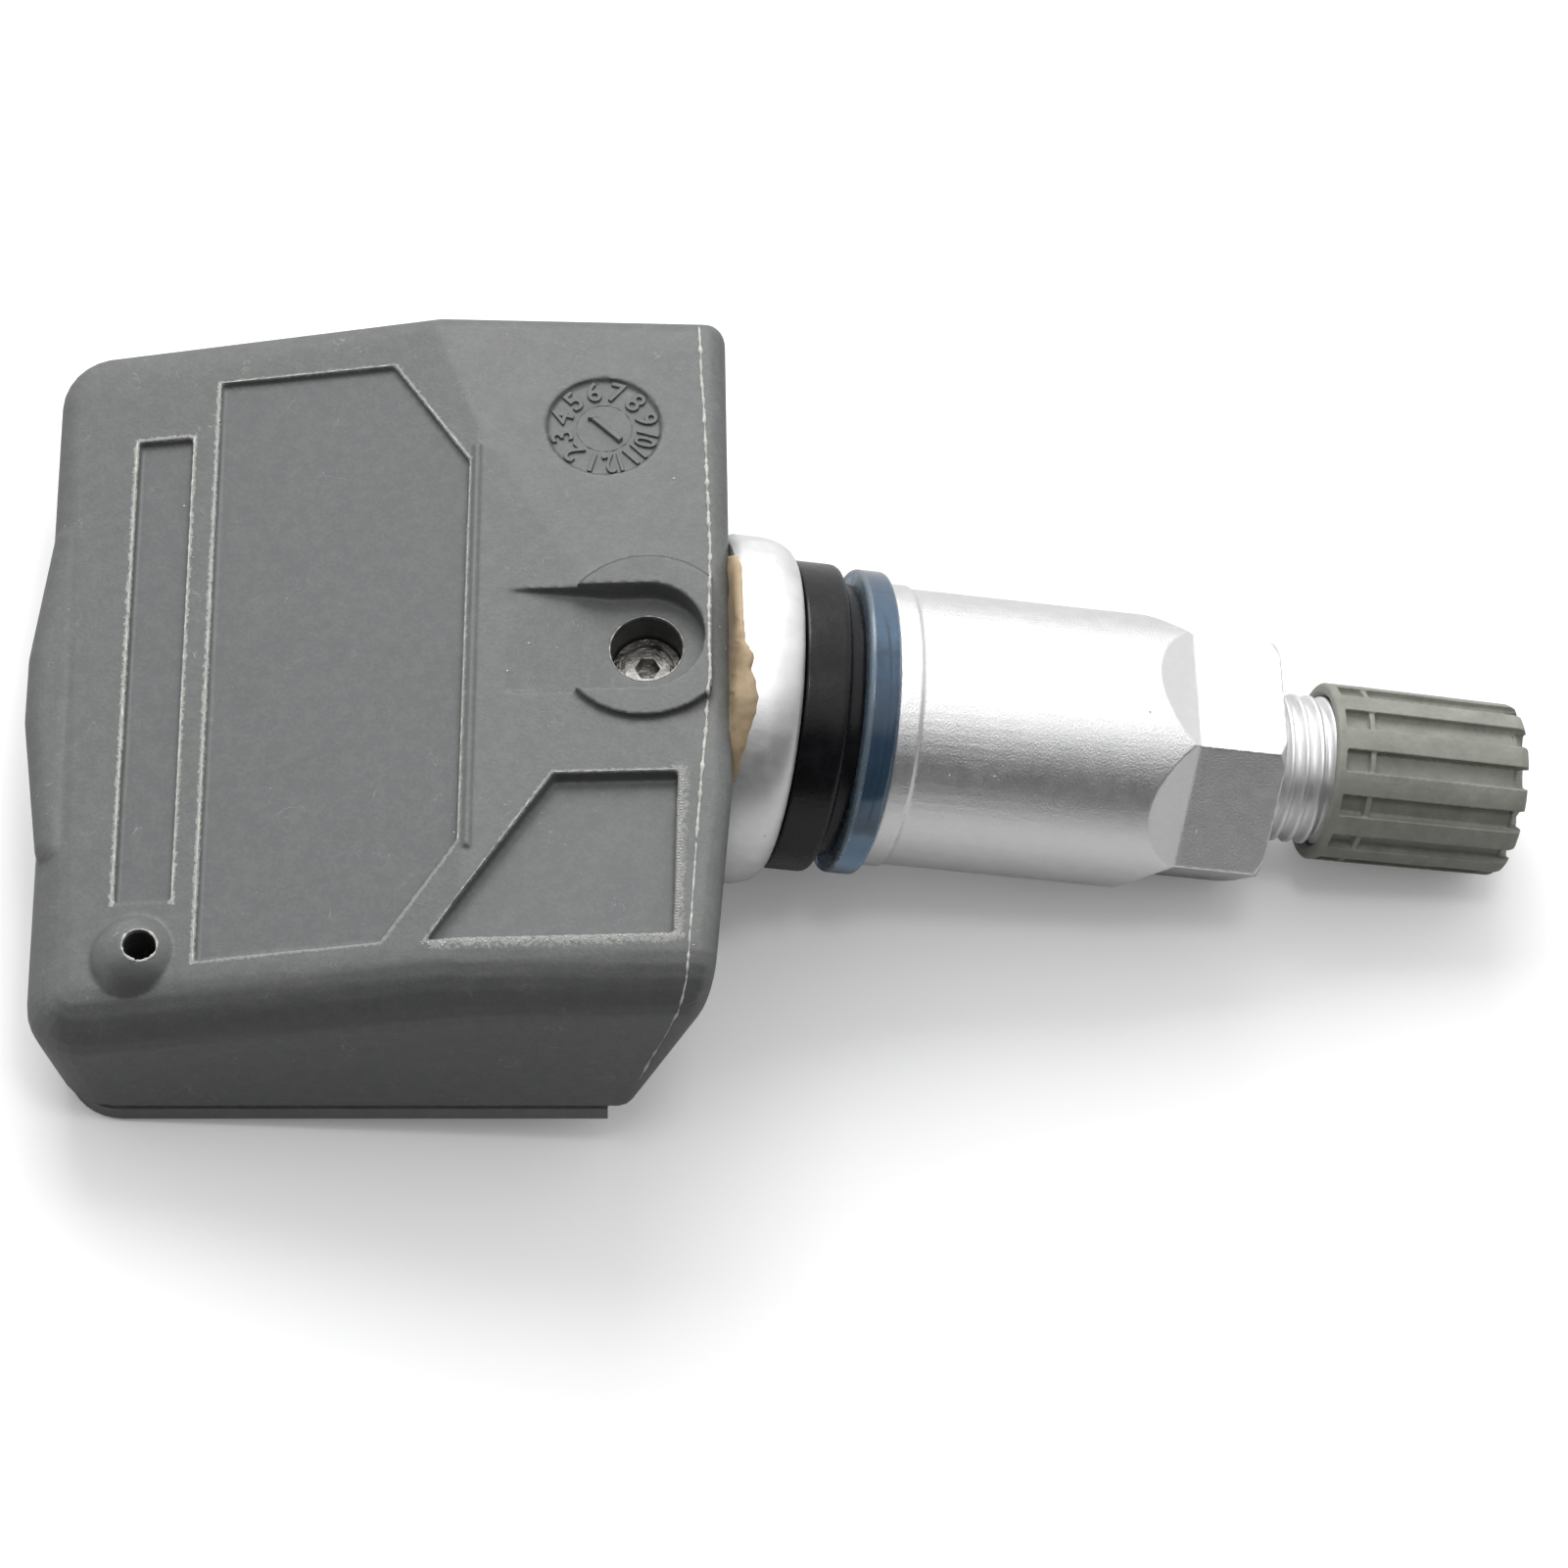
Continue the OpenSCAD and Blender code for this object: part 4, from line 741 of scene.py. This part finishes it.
# Metal skin: fine relief, broad tone and a mask of small pits
PIT_SPAN, PIT_DEPTH, METAL_VARIES = (0.05, 0.13), 1.4, 0.04
metal_skin, place, given, result = new_group(
    "metal_skin", [("Grain", 6000.0), ("Pits", 900.0)], ["Height", "Tone", "Pits"])
fine = clouds(metal_skin, place, given["Grain"], 4.0, Roughness=0.7)
cloud = clouds(metal_skin, place, given["Pits"], 5.0, Roughness=0.6)
cells = put(metal_skin, "ShaderNodeTexVoronoi", {"Vector": place, "Scale": given["Pits"]}).outputs["Distance"]
dots = spread(metal_skin, cells, *PIT_SPAN, 1.0, 0.0)
pitted = maths(metal_skin, "MULTIPLY", dots, spread(metal_skin, cloud, 0.60, 0.64))
metal_skin.links.new(maths(metal_skin, "MULTIPLY_ADD", pitted, -PIT_DEPTH, fine), result["Height"])
metal_skin.links.new(spread(metal_skin, cloud, 0.3, 0.7), result["Tone"])
metal_skin.links.new(pitted, result["Pits"])


def metal(name, dark, light, rough, grain=6000.0, pits=900.0, depth=0.006, pit_tone=0.35):
    """Bare metal: two tones, a fine blasted or drawn relief depth mm deep, and a few pits."""
    made, tree, skin = plain_material(name, {"Metallic": 1.0})
    worked = put(tree, "ShaderNodeGroup", {"Grain": grain, "Pits": pits}, node_tree=metal_skin).outputs
    tone = blend_colour(tree, worked["Tone"], (*dark, 1), (*light, 1))
    shade = tuple(c * pit_tone for c in dark)
    tone = blend_colour(tree, worked["Pits"], tone, (*shade, 1))
    finish_skin(tree, skin, tone, worked["Tone"], rough, METAL_VARIES, worked["Height"], depth)
    return made


dress("circuit_board", moulded("board_laminate", (0.012, 0.10, 0.035), (0.02, 0.17, 0.06), (0.25, 0.22, 0.10),
                               0.35, mottle=900.0, depth=0.004))
dress("battery", metal("cell_steel", (0.55, 0.55, 0.53), (0.68, 0.68, 0.66), 0.30))
tab_steel = metal("tab_steel", (0.52, 0.51, 0.48), (0.63, 0.62, 0.59), 0.35)
dress("battery_tab_positive", tab_steel)
dress("battery_tab_negative", tab_steel)
package_metal = metal("package_metal", (0.45, 0.45, 0.45), (0.58, 0.58, 0.57), 0.32)
dress("pressure_sensor_chip", package_metal)
dress("crystal", package_metal)
seal_rubber = moulded("seal_rubber", (0.016, 0.016, 0.018), (0.026, 0.026, 0.028), (0.06, 0.06, 0.06), 0.6)
dress("port_seal", seal_rubber)
dress("transmitter_chip", moulded("chip_black", (0.014, 0.014, 0.016), (0.024, 0.024, 0.026),
                                  (0.1, 0.1, 0.1), 0.5))
dress("ferrite_core", moulded("ferrite", (0.035, 0.034, 0.034), (0.06, 0.058, 0.058), (0.12, 0.12, 0.12),
                              0.55))
dress("coil_winding", metal("copper", (0.50, 0.19, 0.08), (0.66, 0.30, 0.14), 0.30))
dress("antenna_strip", metal("antenna_metal", (0.58, 0.44, 0.20), (0.70, 0.54, 0.26), 0.28))
dress("chip_components", moulded("ceramic", (0.26, 0.21, 0.14), (0.38, 0.31, 0.22), (0.6, 0.6, 0.58), 0.45,
                                 mottle=1500.0))

# Stem
# Turned from aluminium and blasted: a spigot held in the housing, a domed flange, a shank under
# the grommet, and a rolled 0.794 mm thread that shows between the nut and the cap.
valve_along = Vector(mounts["rim_clamp"]["axis"])
valve_start = Vector(mounts["rim_clamp"]["pos_m"]) - valve_along * VALVE_MOUNT_S * MM
valve_up = Vector((-valve_along.z, 0, valve_along.x))


def on_valve(s, r, turn):
    """A point s mm along the valve's axis and r mm off it, turned from the top to the front."""
    off_axis = valve_up * (r * math.cos(turn)) - across * (r * math.sin(turn))
    return valve_start + (valve_along * s + off_axis) * MM


def span(name):
    """A node's reach along the valve's axis and its largest radius, in mm."""
    offsets = [(v.co - valve_start) / MM for v in nodes[name].data.vertices]
    along = [p.dot(valve_along) for p in offsets]
    radii = [(p - valve_along * s).length for p, s in zip(offsets, along)]
    return min(along), max(along), max(radii)


def ring_of(shell, r, s, turns):
    """New vertices evenly round the valve's axis."""
    return [shell.verts.new(on_valve(s, r, 2 * math.pi * i / turns)) for i in range(turns)]


def lathe(shell, outline, turns=160):
    """Turns a closed outline of (r, s) round the valve's axis and adds it to a bmesh."""
    rings = [ring_of(shell, r, s, turns) for r, s in outline]
    for low, high in zip(rings, rings[1:] + rings[:1]):
        for i in range(turns):
            j = (i + 1) % turns
            shell.faces.new((low[i], low[j], high[j], high[i]))


CORNER_SHARE, CORNER_LEAST = 0.45, 1e-4


def eased(outline, radii, cuts=4):
    """Rounds the corners of a closed outline; radii holds one radius for each corner."""
    made = []
    count = len(outline)
    for i, (corner, radius) in enumerate(zip(outline, radii)):
        here, back, ahead = Vector(corner), Vector(outline[i - 1]), Vector(outline[(i + 1) % count])
        reach = min(radius, (back - here).length * CORNER_SHARE, (ahead - here).length * CORNER_SHARE)
        if reach < CORNER_LEAST:
            made.append(tuple(here))
            continue
        a = here + (back - here).normalized() * reach
        b = here + (ahead - here).normalized() * reach
        for k in range(cuts + 1):
            t = k / cuts
            p = a * (1 - t) ** 2 + here * 2 * t * (1 - t) + b * t * t
            made.append((p.x, p.y))
    return made


SAME_PLACE = 1e-7


def finished(shell, name, skin, sharp=None):
    """Makes a piece of a bmesh, with even normals."""
    bmesh.ops.remove_doubles(shell, verts=shell.verts, dist=SAME_PLACE)
    bmesh.ops.recalc_face_normals(shell, faces=shell.faces)
    mesh = bpy.data.meshes.new(name)
    shell.to_mesh(mesh)
    shell.free()
    mesh.shade_smooth()
    if sharp:
        mesh.set_sharp_from_angle(angle=math.radians(sharp))
    mesh.materials.append(skin)
    piece = bpy.data.objects.new(name, mesh)
    scene.collection.objects.link(piece)
    weighted = piece.modifiers.new("even_normals", "WEIGHTED_NORMAL")
    weighted.keep_sharp = True
    return piece


stem_aluminium = metal("stem_aluminium", (0.84, 0.84, 0.85), (0.94, 0.94, 0.94), 0.46, depth=0.008)
STEM_CUT_S, THREAD_R, THREAD_DEPTH, PITCH = 10.4, 3.85, 0.42, 0.794
TIP_S, TIP_CHAMFER = span("valve_stem")[1], 0.6
CORE_BORE_R, MOUTH_R, AIR_R = 2.65, 2.05, 1.0
CORE_BORE_S, AIR_BORE_S = TIP_S - 6.8, TIP_S - 17.8
stem = bmesh.new()
stem.from_mesh(nodes["valve_stem"].data)
bmesh.ops.bisect_plane(stem, geom=stem.verts[:] + stem.edges[:] + stem.faces[:], dist=SAME_PLACE,
                       plane_co=on_valve(STEM_CUT_S, 0, 0), plane_no=valve_along, clear_outer=True)
bmesh.ops.holes_fill(stem, edges=[e for e in stem.edges if e.is_boundary])
THREAD_TURNS, THREAD_CUTS, THREAD_IN, THREAD_OUT, THREAD_SHARP = 128, 10, 0.5, 0.8, 40
thread_end = TIP_S - TIP_CHAMFER
rows = round((thread_end - STEM_CUT_S) / PITCH * THREAD_CUTS) + THREAD_CUTS + 1
ROOT_FLAT, FLANK_SHARE, CREST_ROUND = 0.12, 0.72, 0.9


def thread_height(phase):
    """Height of the thread, 0 at its root and 1 on its crest, with rounded flanks."""
    slope = 0.5 - 0.5 * math.cos(2 * math.pi * phase)
    return min(1.0, max(0.0, (slope - ROOT_FLAT) / FLANK_SHARE)) ** CREST_ROUND


columns = []
for i in range(THREAD_TURNS):
    turn = i / THREAD_TURNS
    column = []
    for k in range(rows):
        s = STEM_CUT_S + PITCH * (k / THREAD_CUTS - 1 + turn)
        held = min(max(s, STEM_CUT_S), thread_end)
        fade = min(1.0, (thread_end - held) / (THREAD_OUT * PITCH), (held - STEM_CUT_S) / (THREAD_IN * PITCH))
        r = THREAD_R - THREAD_DEPTH * (1 - thread_height(k / THREAD_CUTS) * max(0.0, fade))
        column.append(stem.verts.new(on_valve(held, r, 2 * math.pi * turn)))
    columns.append(column)
for i in range(THREAD_TURNS):
    here, there = columns[i], columns[(i + 1) % THREAD_TURNS]
    hop = THREAD_CUTS if i == THREAD_TURNS - 1 else 0
    for k in range(rows - 1 - hop):
        stem.faces.new((here[k], there[k + hop], there[k + 1 + hop], here[k + 1]))
root_r = THREAD_R - THREAD_DEPTH
# Radius and place of each ring, from the thread's end over the tip and down the bores
STEM_RINGS = [
    (root_r, thread_end), (root_r - 0.25, TIP_S - 0.12), (root_r - 0.38, TIP_S), (CORE_BORE_R + 0.08, TIP_S),
    (CORE_BORE_R, TIP_S - 0.08), (CORE_BORE_R, CORE_BORE_S), (MOUTH_R, CORE_BORE_S), (MOUTH_R, AIR_BORE_S),
    (AIR_R, AIR_BORE_S), (AIR_R, STEM_CUT_S), (root_r, STEM_CUT_S)]
end_rings = [ring_of(stem, r, s, THREAD_TURNS) for r, s in STEM_RINGS]
for low, high in zip(end_rings, end_rings[1:]):
    for i in range(THREAD_TURNS):
        j = (i + 1) % THREAD_TURNS
        stem.faces.new((low[i], low[j], high[j], high[i]))
bmesh.ops.dissolve_degenerate(stem, edges=stem.edges, dist=SAME_PLACE)
stem_piece = finished(stem, "stem", stem_aluminium, sharp=THREAD_SHARP)
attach(stem_piece, "sensor")
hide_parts("valve_stem")

# Stem screw
# A plated steel screw with a ring round its sunk hexagon. It is driven down the deck's round
# hole into the stem's spigot, and the key has scratched it.
# Its steel is painted dark: painted shade, as the screw lies down in the deck's hole
dress("stem_screw", metal("screw_steel", (0.08, 0.077, 0.072), (0.36, 0.35, 0.33), 0.30, grain=1600.0,
                          pits=1500.0, depth=0.09))

# Adhesive
# Tan sealant squeezed out between the housing's leaning end and the flange. It has run over the
# flange's dome in a thin smear with a lobed edge, and set there.
adhesive_skin = moulded("adhesive", (0.33, 0.24, 0.14), (0.47, 0.36, 0.225), (0.66, 0.60, 0.50), 0.55,
                        grain=3600.0, mottle=700.0, depth=0.012, wear=0.4)
stem_faces = faces_of("valve_stem")
adhesive = softened("adhesive_bead", "adhesive_lumps", voxel=0.13, relax=14, most=60000)
BEAD_RISE, BEAD_CLOUDS, BACK_RADIUS, PROFILE_STEP, BEYOND_R = 0.12, 900, 5.5, 0.05, 12.0


def stem_radius(s):
    """Radius of the stem's outside, s mm along the valve's axis."""
    middle, beyond = on_valve(s, 0, 0), on_valve(s, BEYOND_R, 0)
    return (stem_faces.ray_cast(beyond, middle - beyond)[0] - middle).length / MM


back_s = VALVE_MOUNT_S
while stem_radius(back_s - PROFILE_STEP) > BACK_RADIUS:
    back_s -= PROFILE_STEP
# The bead stands hardly higher than the flange's back edge and dome
for vertex in adhesive.data.vertices:
    offset = (vertex.co - valve_start) / MM
    s = offset.dot(valve_along)
    out = offset - valve_along * s
    swell = 1 + noise.noise(vertex.co * BEAD_CLOUDS)
    highest = stem_radius(min(max(s, back_s), VALVE_MOUNT_S)) + BEAD_RISE * swell
    if out.length > highest:
        vertex.co -= out.normalized() * (out.length - highest) * MM
# Row and column of the smear's right edge in the photograph. Its left side is hidden from
# column SMEAR_HIDDEN on.
SMEAR_EDGE = [
    (553, 750), (575, 757), (620, 759), (655, 761), (668, 770), (683, 768), (700, 772), (713, 775),
    (735, 769), (765, 760), (800, 749)]
SMEAR_HIDDEN, SMEAR_STEP, SMEAR_TAPER, SMEAR_CELLS = 726, 3.0, 30, 12
SMEAR_THICK, SMEAR_SUNK, SMEAR_CLOUDS, SMEAR_RAGGED = 0.30, 0.05, 700, 2.2
SMEAR_FIRST, SMEAR_LAST = SMEAR_EDGE[0][0], SMEAR_EDGE[-1][0]
shares = [k / SMEAR_CELLS for k in range(SMEAR_CELLS + 1)]
smear = bmesh.new()
smear.from_mesh(adhesive.data)
previous = None
row = float(SMEAR_FIRST)
while row <= SMEAR_LAST:
    (y0, x0), (y1, x1) = next(pair for pair in zip(SMEAR_EDGE, SMEAR_EDGE[1:]) if pair[1][0] >= row)
    edge = x0 + (x1 - x0) * (row - y0) / (y1 - y0) + SMEAR_RAGGED * wave(row * 0.09, 4, 2)
    end_taper = max(0.0, min(1.0, (row - SMEAR_FIRST) / SMEAR_TAPER, (SMEAR_LAST - row) / SMEAR_TAPER))
    hits = [under_pixel(SMEAR_HIDDEN + (edge - SMEAR_HIDDEN) * share, row, stem_faces) for share in shares]
    row += SMEAR_STEP
    if any(spot is None for spot, _ in hits):
        continue
    line = []
    for share, (spot, facing) in zip(shares, hits):
        swell = 0.75 + 0.5 * noise.noise(spot * SMEAR_CLOUDS)
        rise = SMEAR_THICK * swell * math.sqrt(1 - share ** 5) * math.sqrt(end_taper)
        raised, sunk = spot + facing * rise * MM, spot - facing * SMEAR_SUNK * MM
        line.append((smear.verts.new(raised), smear.verts.new(sunk)))
    if previous:
        cells = zip(previous, previous[1:], line, line[1:])
        for (a, a_under), (b, b_under), (c, c_under), (d, d_under) in cells:
            smear.faces.new((a, c, d, b))
            smear.faces.new((a_under, b_under, d_under, c_under))
        smear.faces.new((previous[-1][0], line[-1][0], line[-1][1], previous[-1][1]))
        smear.faces.new((previous[0][0], previous[0][1], line[0][1], line[0][0]))
    else:
        for (a, a_under), (b, b_under) in zip(line, line[1:]):
            smear.faces.new((a, b, b_under, a_under))
    previous = line
for (a, a_under), (b, b_under) in zip(previous, previous[1:]):
    smear.faces.new((b, a, a_under, b_under))
smear.to_mesh(adhesive.data)
smear.free()
adhesive.data.shade_smooth()
adhesive.data.materials.append(adhesive_skin)
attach(adhesive, "sensor")
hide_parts("adhesive_bead")

# Grommet
# A sleeve moulded in black rubber and pushed over the shank. Its wide rim seals on the rim of
# the wheel, and its narrow neck stands in the valve hole.
grommet_rubber = moulded("grommet_rubber", (0.004, 0.004, 0.005), (0.008, 0.008, 0.0095),
                         (0.035, 0.037, 0.04), 0.27, grain=3600.0, mottle=700.0, depth=0.010, wear=0.4,
                         values={"Specular IOR Level": 0.34})
GROMMET_S, NECK_END_S, GROMMET_R = span("grommet")
NECK_R, NECK_L, SHANK_R, SEAT_R, SEAT_DEPTH = 7.0, 0.9, 4.6, 7.45, 0.42
RIM_S, WIDE_END_S = GROMMET_S + SEAT_DEPTH, NECK_END_S - NECK_L
GROMMET_ROUNDS = [0.05, 0.05, 0.05, 0.32, 0.6, 0.3, 0.22, 0.05]
grommet_line = [(SHANK_R, GROMMET_S), (SEAT_R, GROMMET_S), (SEAT_R, RIM_S), (GROMMET_R, RIM_S),
                (GROMMET_R, WIDE_END_S), (NECK_R, WIDE_END_S), (NECK_R, NECK_END_S), (SHANK_R, NECK_END_S)]
shell = bmesh.new()
lathe(shell, eased(grommet_line, GROMMET_ROUNDS))
grommet = finished(shell, "grommet_sleeve", grommet_rubber)
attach(grommet, "sensor")
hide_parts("grommet")

# Washer
# A moulded ring of slate-blue translucent nylon between the grommet and the nut. Its rim is
#  polished and deep in colour. Its side towards the grommet is frosted and rougher, and its colour
#  is painted paler there as a painted glow of the light shining through the nylon
NYLON = {"Transmission Weight": 0.75, "IOR": 1.45, "Coat Weight": 0.5, "Coat Roughness": 0.06}
FROSTED = {"Transmission Weight": 0.7, "IOR": 1.45}
washer_nylon = moulded("washer_nylon", (0.085, 0.165, 0.27), (0.115, 0.21, 0.325), (0.3, 0.4, 0.5), 0.13,
                       grain=2400.0, mottle=500.0, depth=0.0015, wear=0.15, values=NYLON)
washer_frost_painted_glow = moulded("washer_frost_painted_glow", (0.33, 0.43, 0.52), (0.40, 0.50, 0.59), (0.5, 0.6, 0.7), 0.26,
                       grain=2400.0, mottle=500.0, depth=0.003, wear=0.2, values=FROSTED)
WASHER_S, WASHER_END_S, WASHER_R = span("washer")
WASHER_BORE_R, FROST_DEPTH, WASHER_ROUNDS = 3.9, 0.28, [0.1, 0.3, 0.3, 0.1]
washer_line = [(WASHER_BORE_R, WASHER_S), (WASHER_R, WASHER_S), (WASHER_R, WASHER_END_S),
               (WASHER_BORE_R, WASHER_END_S)]
shell = bmesh.new()
lathe(shell, eased(washer_line, WASHER_ROUNDS, cuts=6))
washer = finished(shell, "washer_ring", washer_nylon)
washer.data.materials.append(washer_frost_painted_glow)
for face in washer.data.polygons:
    if (face.center - valve_start).dot(valve_along) < (WASHER_S + FROST_DEPTH) * MM:
        face.material_index = 1
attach(washer, "washer")
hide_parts("washer")

# Sleeve nut
# Turned from bar and blasted to a satin skin: a thin collar, a long barrel, and a hexagon whose
# flats run out into the barrel on slopes. The tool and the wheel have left a few pits in it.
nut_aluminium = metal("nut_aluminium", (0.90, 0.90, 0.905), (0.94, 0.94, 0.94), 0.32, grain=9500.0,
                      pits=1300.0, depth=0.030, pit_tone=0.55)
nut = softened("hex_nut", "sleeve_nut", voxel=0.08, relax=1, most=190000)
nut.data.materials.append(nut_aluminium)
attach(nut, "nut")
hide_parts("hex_nut")

# Valve core
# The core screwed into the stem's tip, hidden by the cap: a brass body and pin, a red seal round
# the body, a rubber cup on the pin's lower end, and a spring that keeps it shut.
core_brass = metal("core_brass", (0.56, 0.40, 0.16), (0.70, 0.52, 0.24), 0.28)
dress("core_body", core_brass)
dress("core_pin", core_brass)
dress("core_seal", moulded("core_seal_red", (0.34, 0.035, 0.02), (0.45, 0.06, 0.04), (0.5, 0.2, 0.18), 0.5))
dress("core_cup", seal_rubber)
dress("core_spring", metal("spring_steel", (0.36, 0.36, 0.37), (0.48, 0.48, 0.49), 0.28))

# Cap
# A moulded dust cap in grey-green plastic: twelve ribs, a lip at its mouth, a ring line across
# the grooves, and a rubber seal pressed in under its end wall.
cap_plastic = moulded("cap_plastic", (0.20, 0.208, 0.18), (0.28, 0.288, 0.25), (0.45, 0.45, 0.40), 0.50,
                      grain=4200.0, mottle=650.0, depth=0.015, wear=0.4)
cap = softened("cap", "dust_cap", voxel=0.06, relax=1, most=190000)
cap.data.materials.append(cap_plastic)
# Each groove is sunk a little deeper between its walls and cuts the edge of the end face
CAP_S, CAP_END_S, _ = span("cap")
GROOVES, GROOVE_HALF, GROOVE_MORE, GROOVE_START, RING_SPAN = 12, 0.50, 0.12, 0.55, (1.75, 2.15)
NOTCH_R, NOTCH_SLOPE, GROOVE_WIDEST_R = 3.45, 1.0, 4.42
FLOOR_R_SPAN, FLOOR_START, FLOOR_STOP, FACES_OUT = (4.0, 4.25), 4, 2, 0.5
spots = []
for vertex in cap.data.vertices:
    offset = (vertex.co - valve_start) / MM
    s = offset.dot(valve_along)
    out = offset - valve_along * s
    faces_out = vertex.normal.dot(out) > FACES_OUT * out.length
    spots.append((vertex, s, out, math.atan2(-out.y, out.dot(valve_up)), faces_out))
floors = [turn for vertex, s, out, turn, faces_out in spots
          if faces_out and CAP_S + FLOOR_START < s < CAP_END_S - FLOOR_STOP
          and FLOOR_R_SPAN[0] < out.length < FLOOR_R_SPAN[1]]
sines, cosines = sum(math.sin(GROOVES * t) for t in floors), sum(math.cos(GROOVES * t) for t in floors)
phase = math.atan2(sines, cosines) / GROOVES
step = 2 * math.pi / GROOVES
for vertex, s, out, turn, faces_out in spots:
    off = (turn - phase + step / 2) % step - step / 2
    if abs(off) * out.length > GROOVE_HALF or s < CAP_S + GROOVE_START:
        continue
    if faces_out and out.length < GROOVE_WIDEST_R and not RING_SPAN[0] < s - CAP_S < RING_SPAN[1]:
        vertex.co -= out.normalized() * GROOVE_MORE * MM
    highest = CAP_END_S - NOTCH_SLOPE * max(0.0, out.length - NOTCH_R)
    if s > highest:
        vertex.co -= valve_along * (s - highest) * MM
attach(cap, "cap")
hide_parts("cap")
dress("cap_seal", seal_rubber)

# Sizes
low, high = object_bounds()
